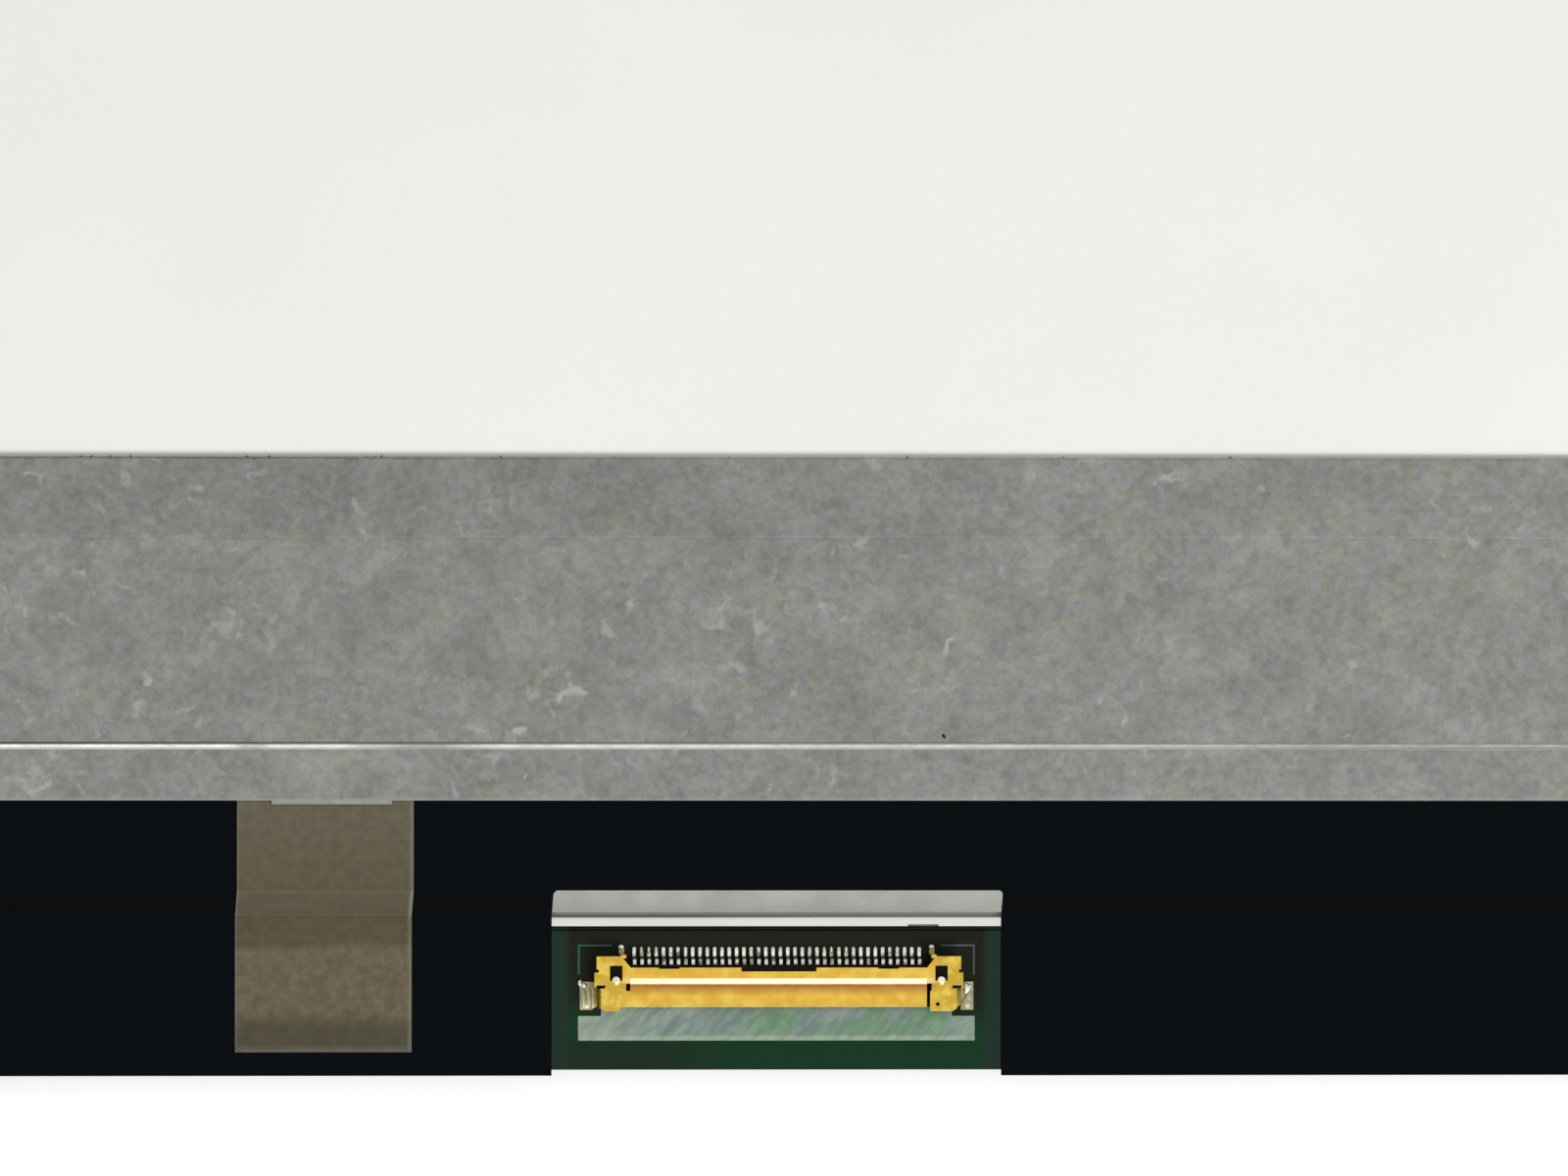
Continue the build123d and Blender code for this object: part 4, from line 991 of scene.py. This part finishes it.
burrLook = {
    "seed": 7,
    "size": (0.24, 0.17, 0.06),
    "places": (-47.6, -46.9, -45.6, -44.2, -36.3, -34.8, -28.2, -27.6, -27.1, -19.0, -11.2,
               -3.4, 8.8, 19.5, 31.0),
    "inset": 0.02,                   # mm below the cover's upper edge
    "jitter": 0.12,
    "stretch": (0.7, 1.4),
    "turn": 1.2,
    "nick": (11.2, 22.95),           # mm from the connector and above the lower edge
    "nickSize": (0.2, 0.36, 0.012),
    "nickTurn": 0.45,
}


def makeBurrs():
    # Small torn specks along the cover's sheared edge, dark partly as painted shade of the edge, and
    # one on its face beside the ridge
    look = burrLook
    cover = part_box("lower_cover")[1]
    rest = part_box("reflector_sheet")[1].z
    places = [(right, cover.y - look["inset"] * mm, rest) for right in look["places"]]
    right, up = look["nick"]
    places.append((right, edgeY + up * mm, cover.z))
    jitter, turn = look["jitter"], look["turn"]
    random.seed(look["seed"])
    burrs = []
    for right, y, z in places:
        deselect()
        bpy.ops.mesh.primitive_ico_sphere_add(subdivisions=2, radius=0.5, location=(0, 0, 0))
        burr = bpy.context.object
        bpy.ops.object.mode_set(mode="EDIT")
        bpy.ops.mesh.select_all(action="SELECT")
        bpy.ops.mesh.bisect(plane_co=(0, 0, 0), plane_no=(0, 0, 1), clear_inner=True, use_fill=True)
        bpy.ops.object.mode_set(mode="OBJECT")
        for vertex in burr.data.vertices:
            vertex.co.x += random.uniform(-jitter, jitter)
            vertex.co.y += random.uniform(-jitter, jitter)
        burr.scale = [s * random.uniform(*look["stretch"]) * mm for s in look["size"]]
        burr.rotation_euler = (0, 0, random.uniform(-turn, turn))
        burr.location = (plugX + right * mm, y, z)
        burrs.append(burr)
    nick = burrs.pop()
    nick.scale = [s * mm for s in look["nickSize"]]
    nick.rotation_euler = (0, 0, look["nickTurn"])
    finishPiece(joinPieces(burrs, "coverBurrs"), "burr")
    finishPiece(joinPieces([nick], "coverSpeck"), "speck")


makeSolder()
makeInk()
makeBurrs()
print("small pieces made")


# Floor, lamps and camera

stageLook = {
    "floor": (0.93, 0.93, 0.92, 1),
    "glow": 0.2,                     # so that the floor looks white beyond the shadow
    "size": 4.0,
    "drop": 0.02,                    # mm below the panel
    "skyDiffuse": 0.5,
}


def directRays(tree):
    # 1 for the rays that show the stage itself, 0 for those that only light the panel
    path = addNode(tree, "LightPath")
    seen = calc(tree, "MAXIMUM", path.outputs["Is Camera Ray"], path.outputs["Is Glossy Ray"])
    return calc(tree, "MAXIMUM", seen, path.outputs["Is Transmission Ray"])


def makeFloor():
    deselect()
    bpy.ops.mesh.primitive_plane_add(size=stageLook["size"], location=(0, 0, -stageLook["drop"] * mm))
    floor = bpy.context.object
    floor.name = "floor"
    made, tree, shader, _ = startMaterial("floor", 0.0, 0.8, 0.1)
    shader.inputs["Base Color"].default_value = stageLook["floor"]
    glow = times(tree, directRays(tree), stageLook["glow"])
    shader.inputs["Emission Color"].default_value = (1, 1, 1, 1)
    tree.links.new(glow, shader.inputs["Emission Strength"])
    floor.data.materials.append(made)


def makeSky():
    world = bpy.data.worlds.new("sky")
    bpy.context.scene.world = world
    world.use_nodes = True
    tree = world.node_tree
    background = tree.nodes["Background"]
    strength = remap(tree, directRays(tree), 0.0, 1.0, stageLook["skyDiffuse"], 1.0)
    background.inputs["Color"].default_value = (1, 1, 1, 1)
    tree.links.new(strength, background.inputs["Strength"])


keyLook = {
    "elevation": 45.0,               # degrees
    "distance": 0.75,                # metres from the connector
    "side": 0.2,                     # metres to its right
    "size": (0.5, 0.36),
    "energy": 4.75,
}


def makeKeyLamp():
    angle = math.radians(keyLook["elevation"])
    target = Vector((plugX, edgeY, 0))
    place = target + Vector((0, -math.cos(angle), math.sin(angle))) * keyLook["distance"]
    place.x += keyLook["side"]
    bpy.ops.object.light_add(type="AREA", location=place)
    lamp = bpy.context.object
    lamp.name = "keyLamp"
    lamp.data.shape = "RECTANGLE"
    lamp.data.size, lamp.data.size_y = keyLook["size"]
    lamp.data.energy = keyLook["energy"]
    lamp.rotation_euler = (target - place).to_track_quat("-Z", "Y").to_euler()


cameraLook = {
    "lens": 900.0,                   # long, because the photograph is a small part of a wider one
    "pixelsPerMm": 15.1,
    "frame": (1600, 1200),
    "plugPixel": 795.3,              # the connector's middle across the photograph
    "edgePixel": 1097.7,             # the tape's lower edge down the photograph
    "height": 3.4,                   # mm above the floor, at the connector's rear face
    "lean": 9.0,                     # degrees: the photograph looks from the panel's middle
    "roll": -0.06,                   # degrees, as the photograph's edges run
}


def makeCamera():
    look = cameraLook
    width, height = look["frame"]
    right = (width / 2 - look["plugPixel"]) / look["pixelsPerMm"] * mm
    up = (look["edgePixel"] - height / 2) / look["pixelsPerMm"] * mm
    bpy.ops.object.camera_add()
    camera = bpy.context.object
    camera.data.lens = look["lens"]
    span = width / look["pixelsPerMm"] * mm
    distance = span * look["lens"] / camera.data.sensor_width
    lean = math.radians(look["lean"])
    turn = Euler((0, -lean, math.radians(-look["roll"])))
    target = Vector((plugX + right / math.cos(lean), edgeY + up, look["height"] * mm))
    camera.location = target + turn.to_matrix() @ Vector((0, 0, distance))
    camera.rotation_euler = turn
    camera.data.clip_start = 0.01
    bpy.context.scene.camera = camera


makeFloor()
makeSky()
makeKeyLamp()
makeCamera()
bpy.context.scene.view_settings.view_transform = "Standard"
print("stage, lamps and camera set")
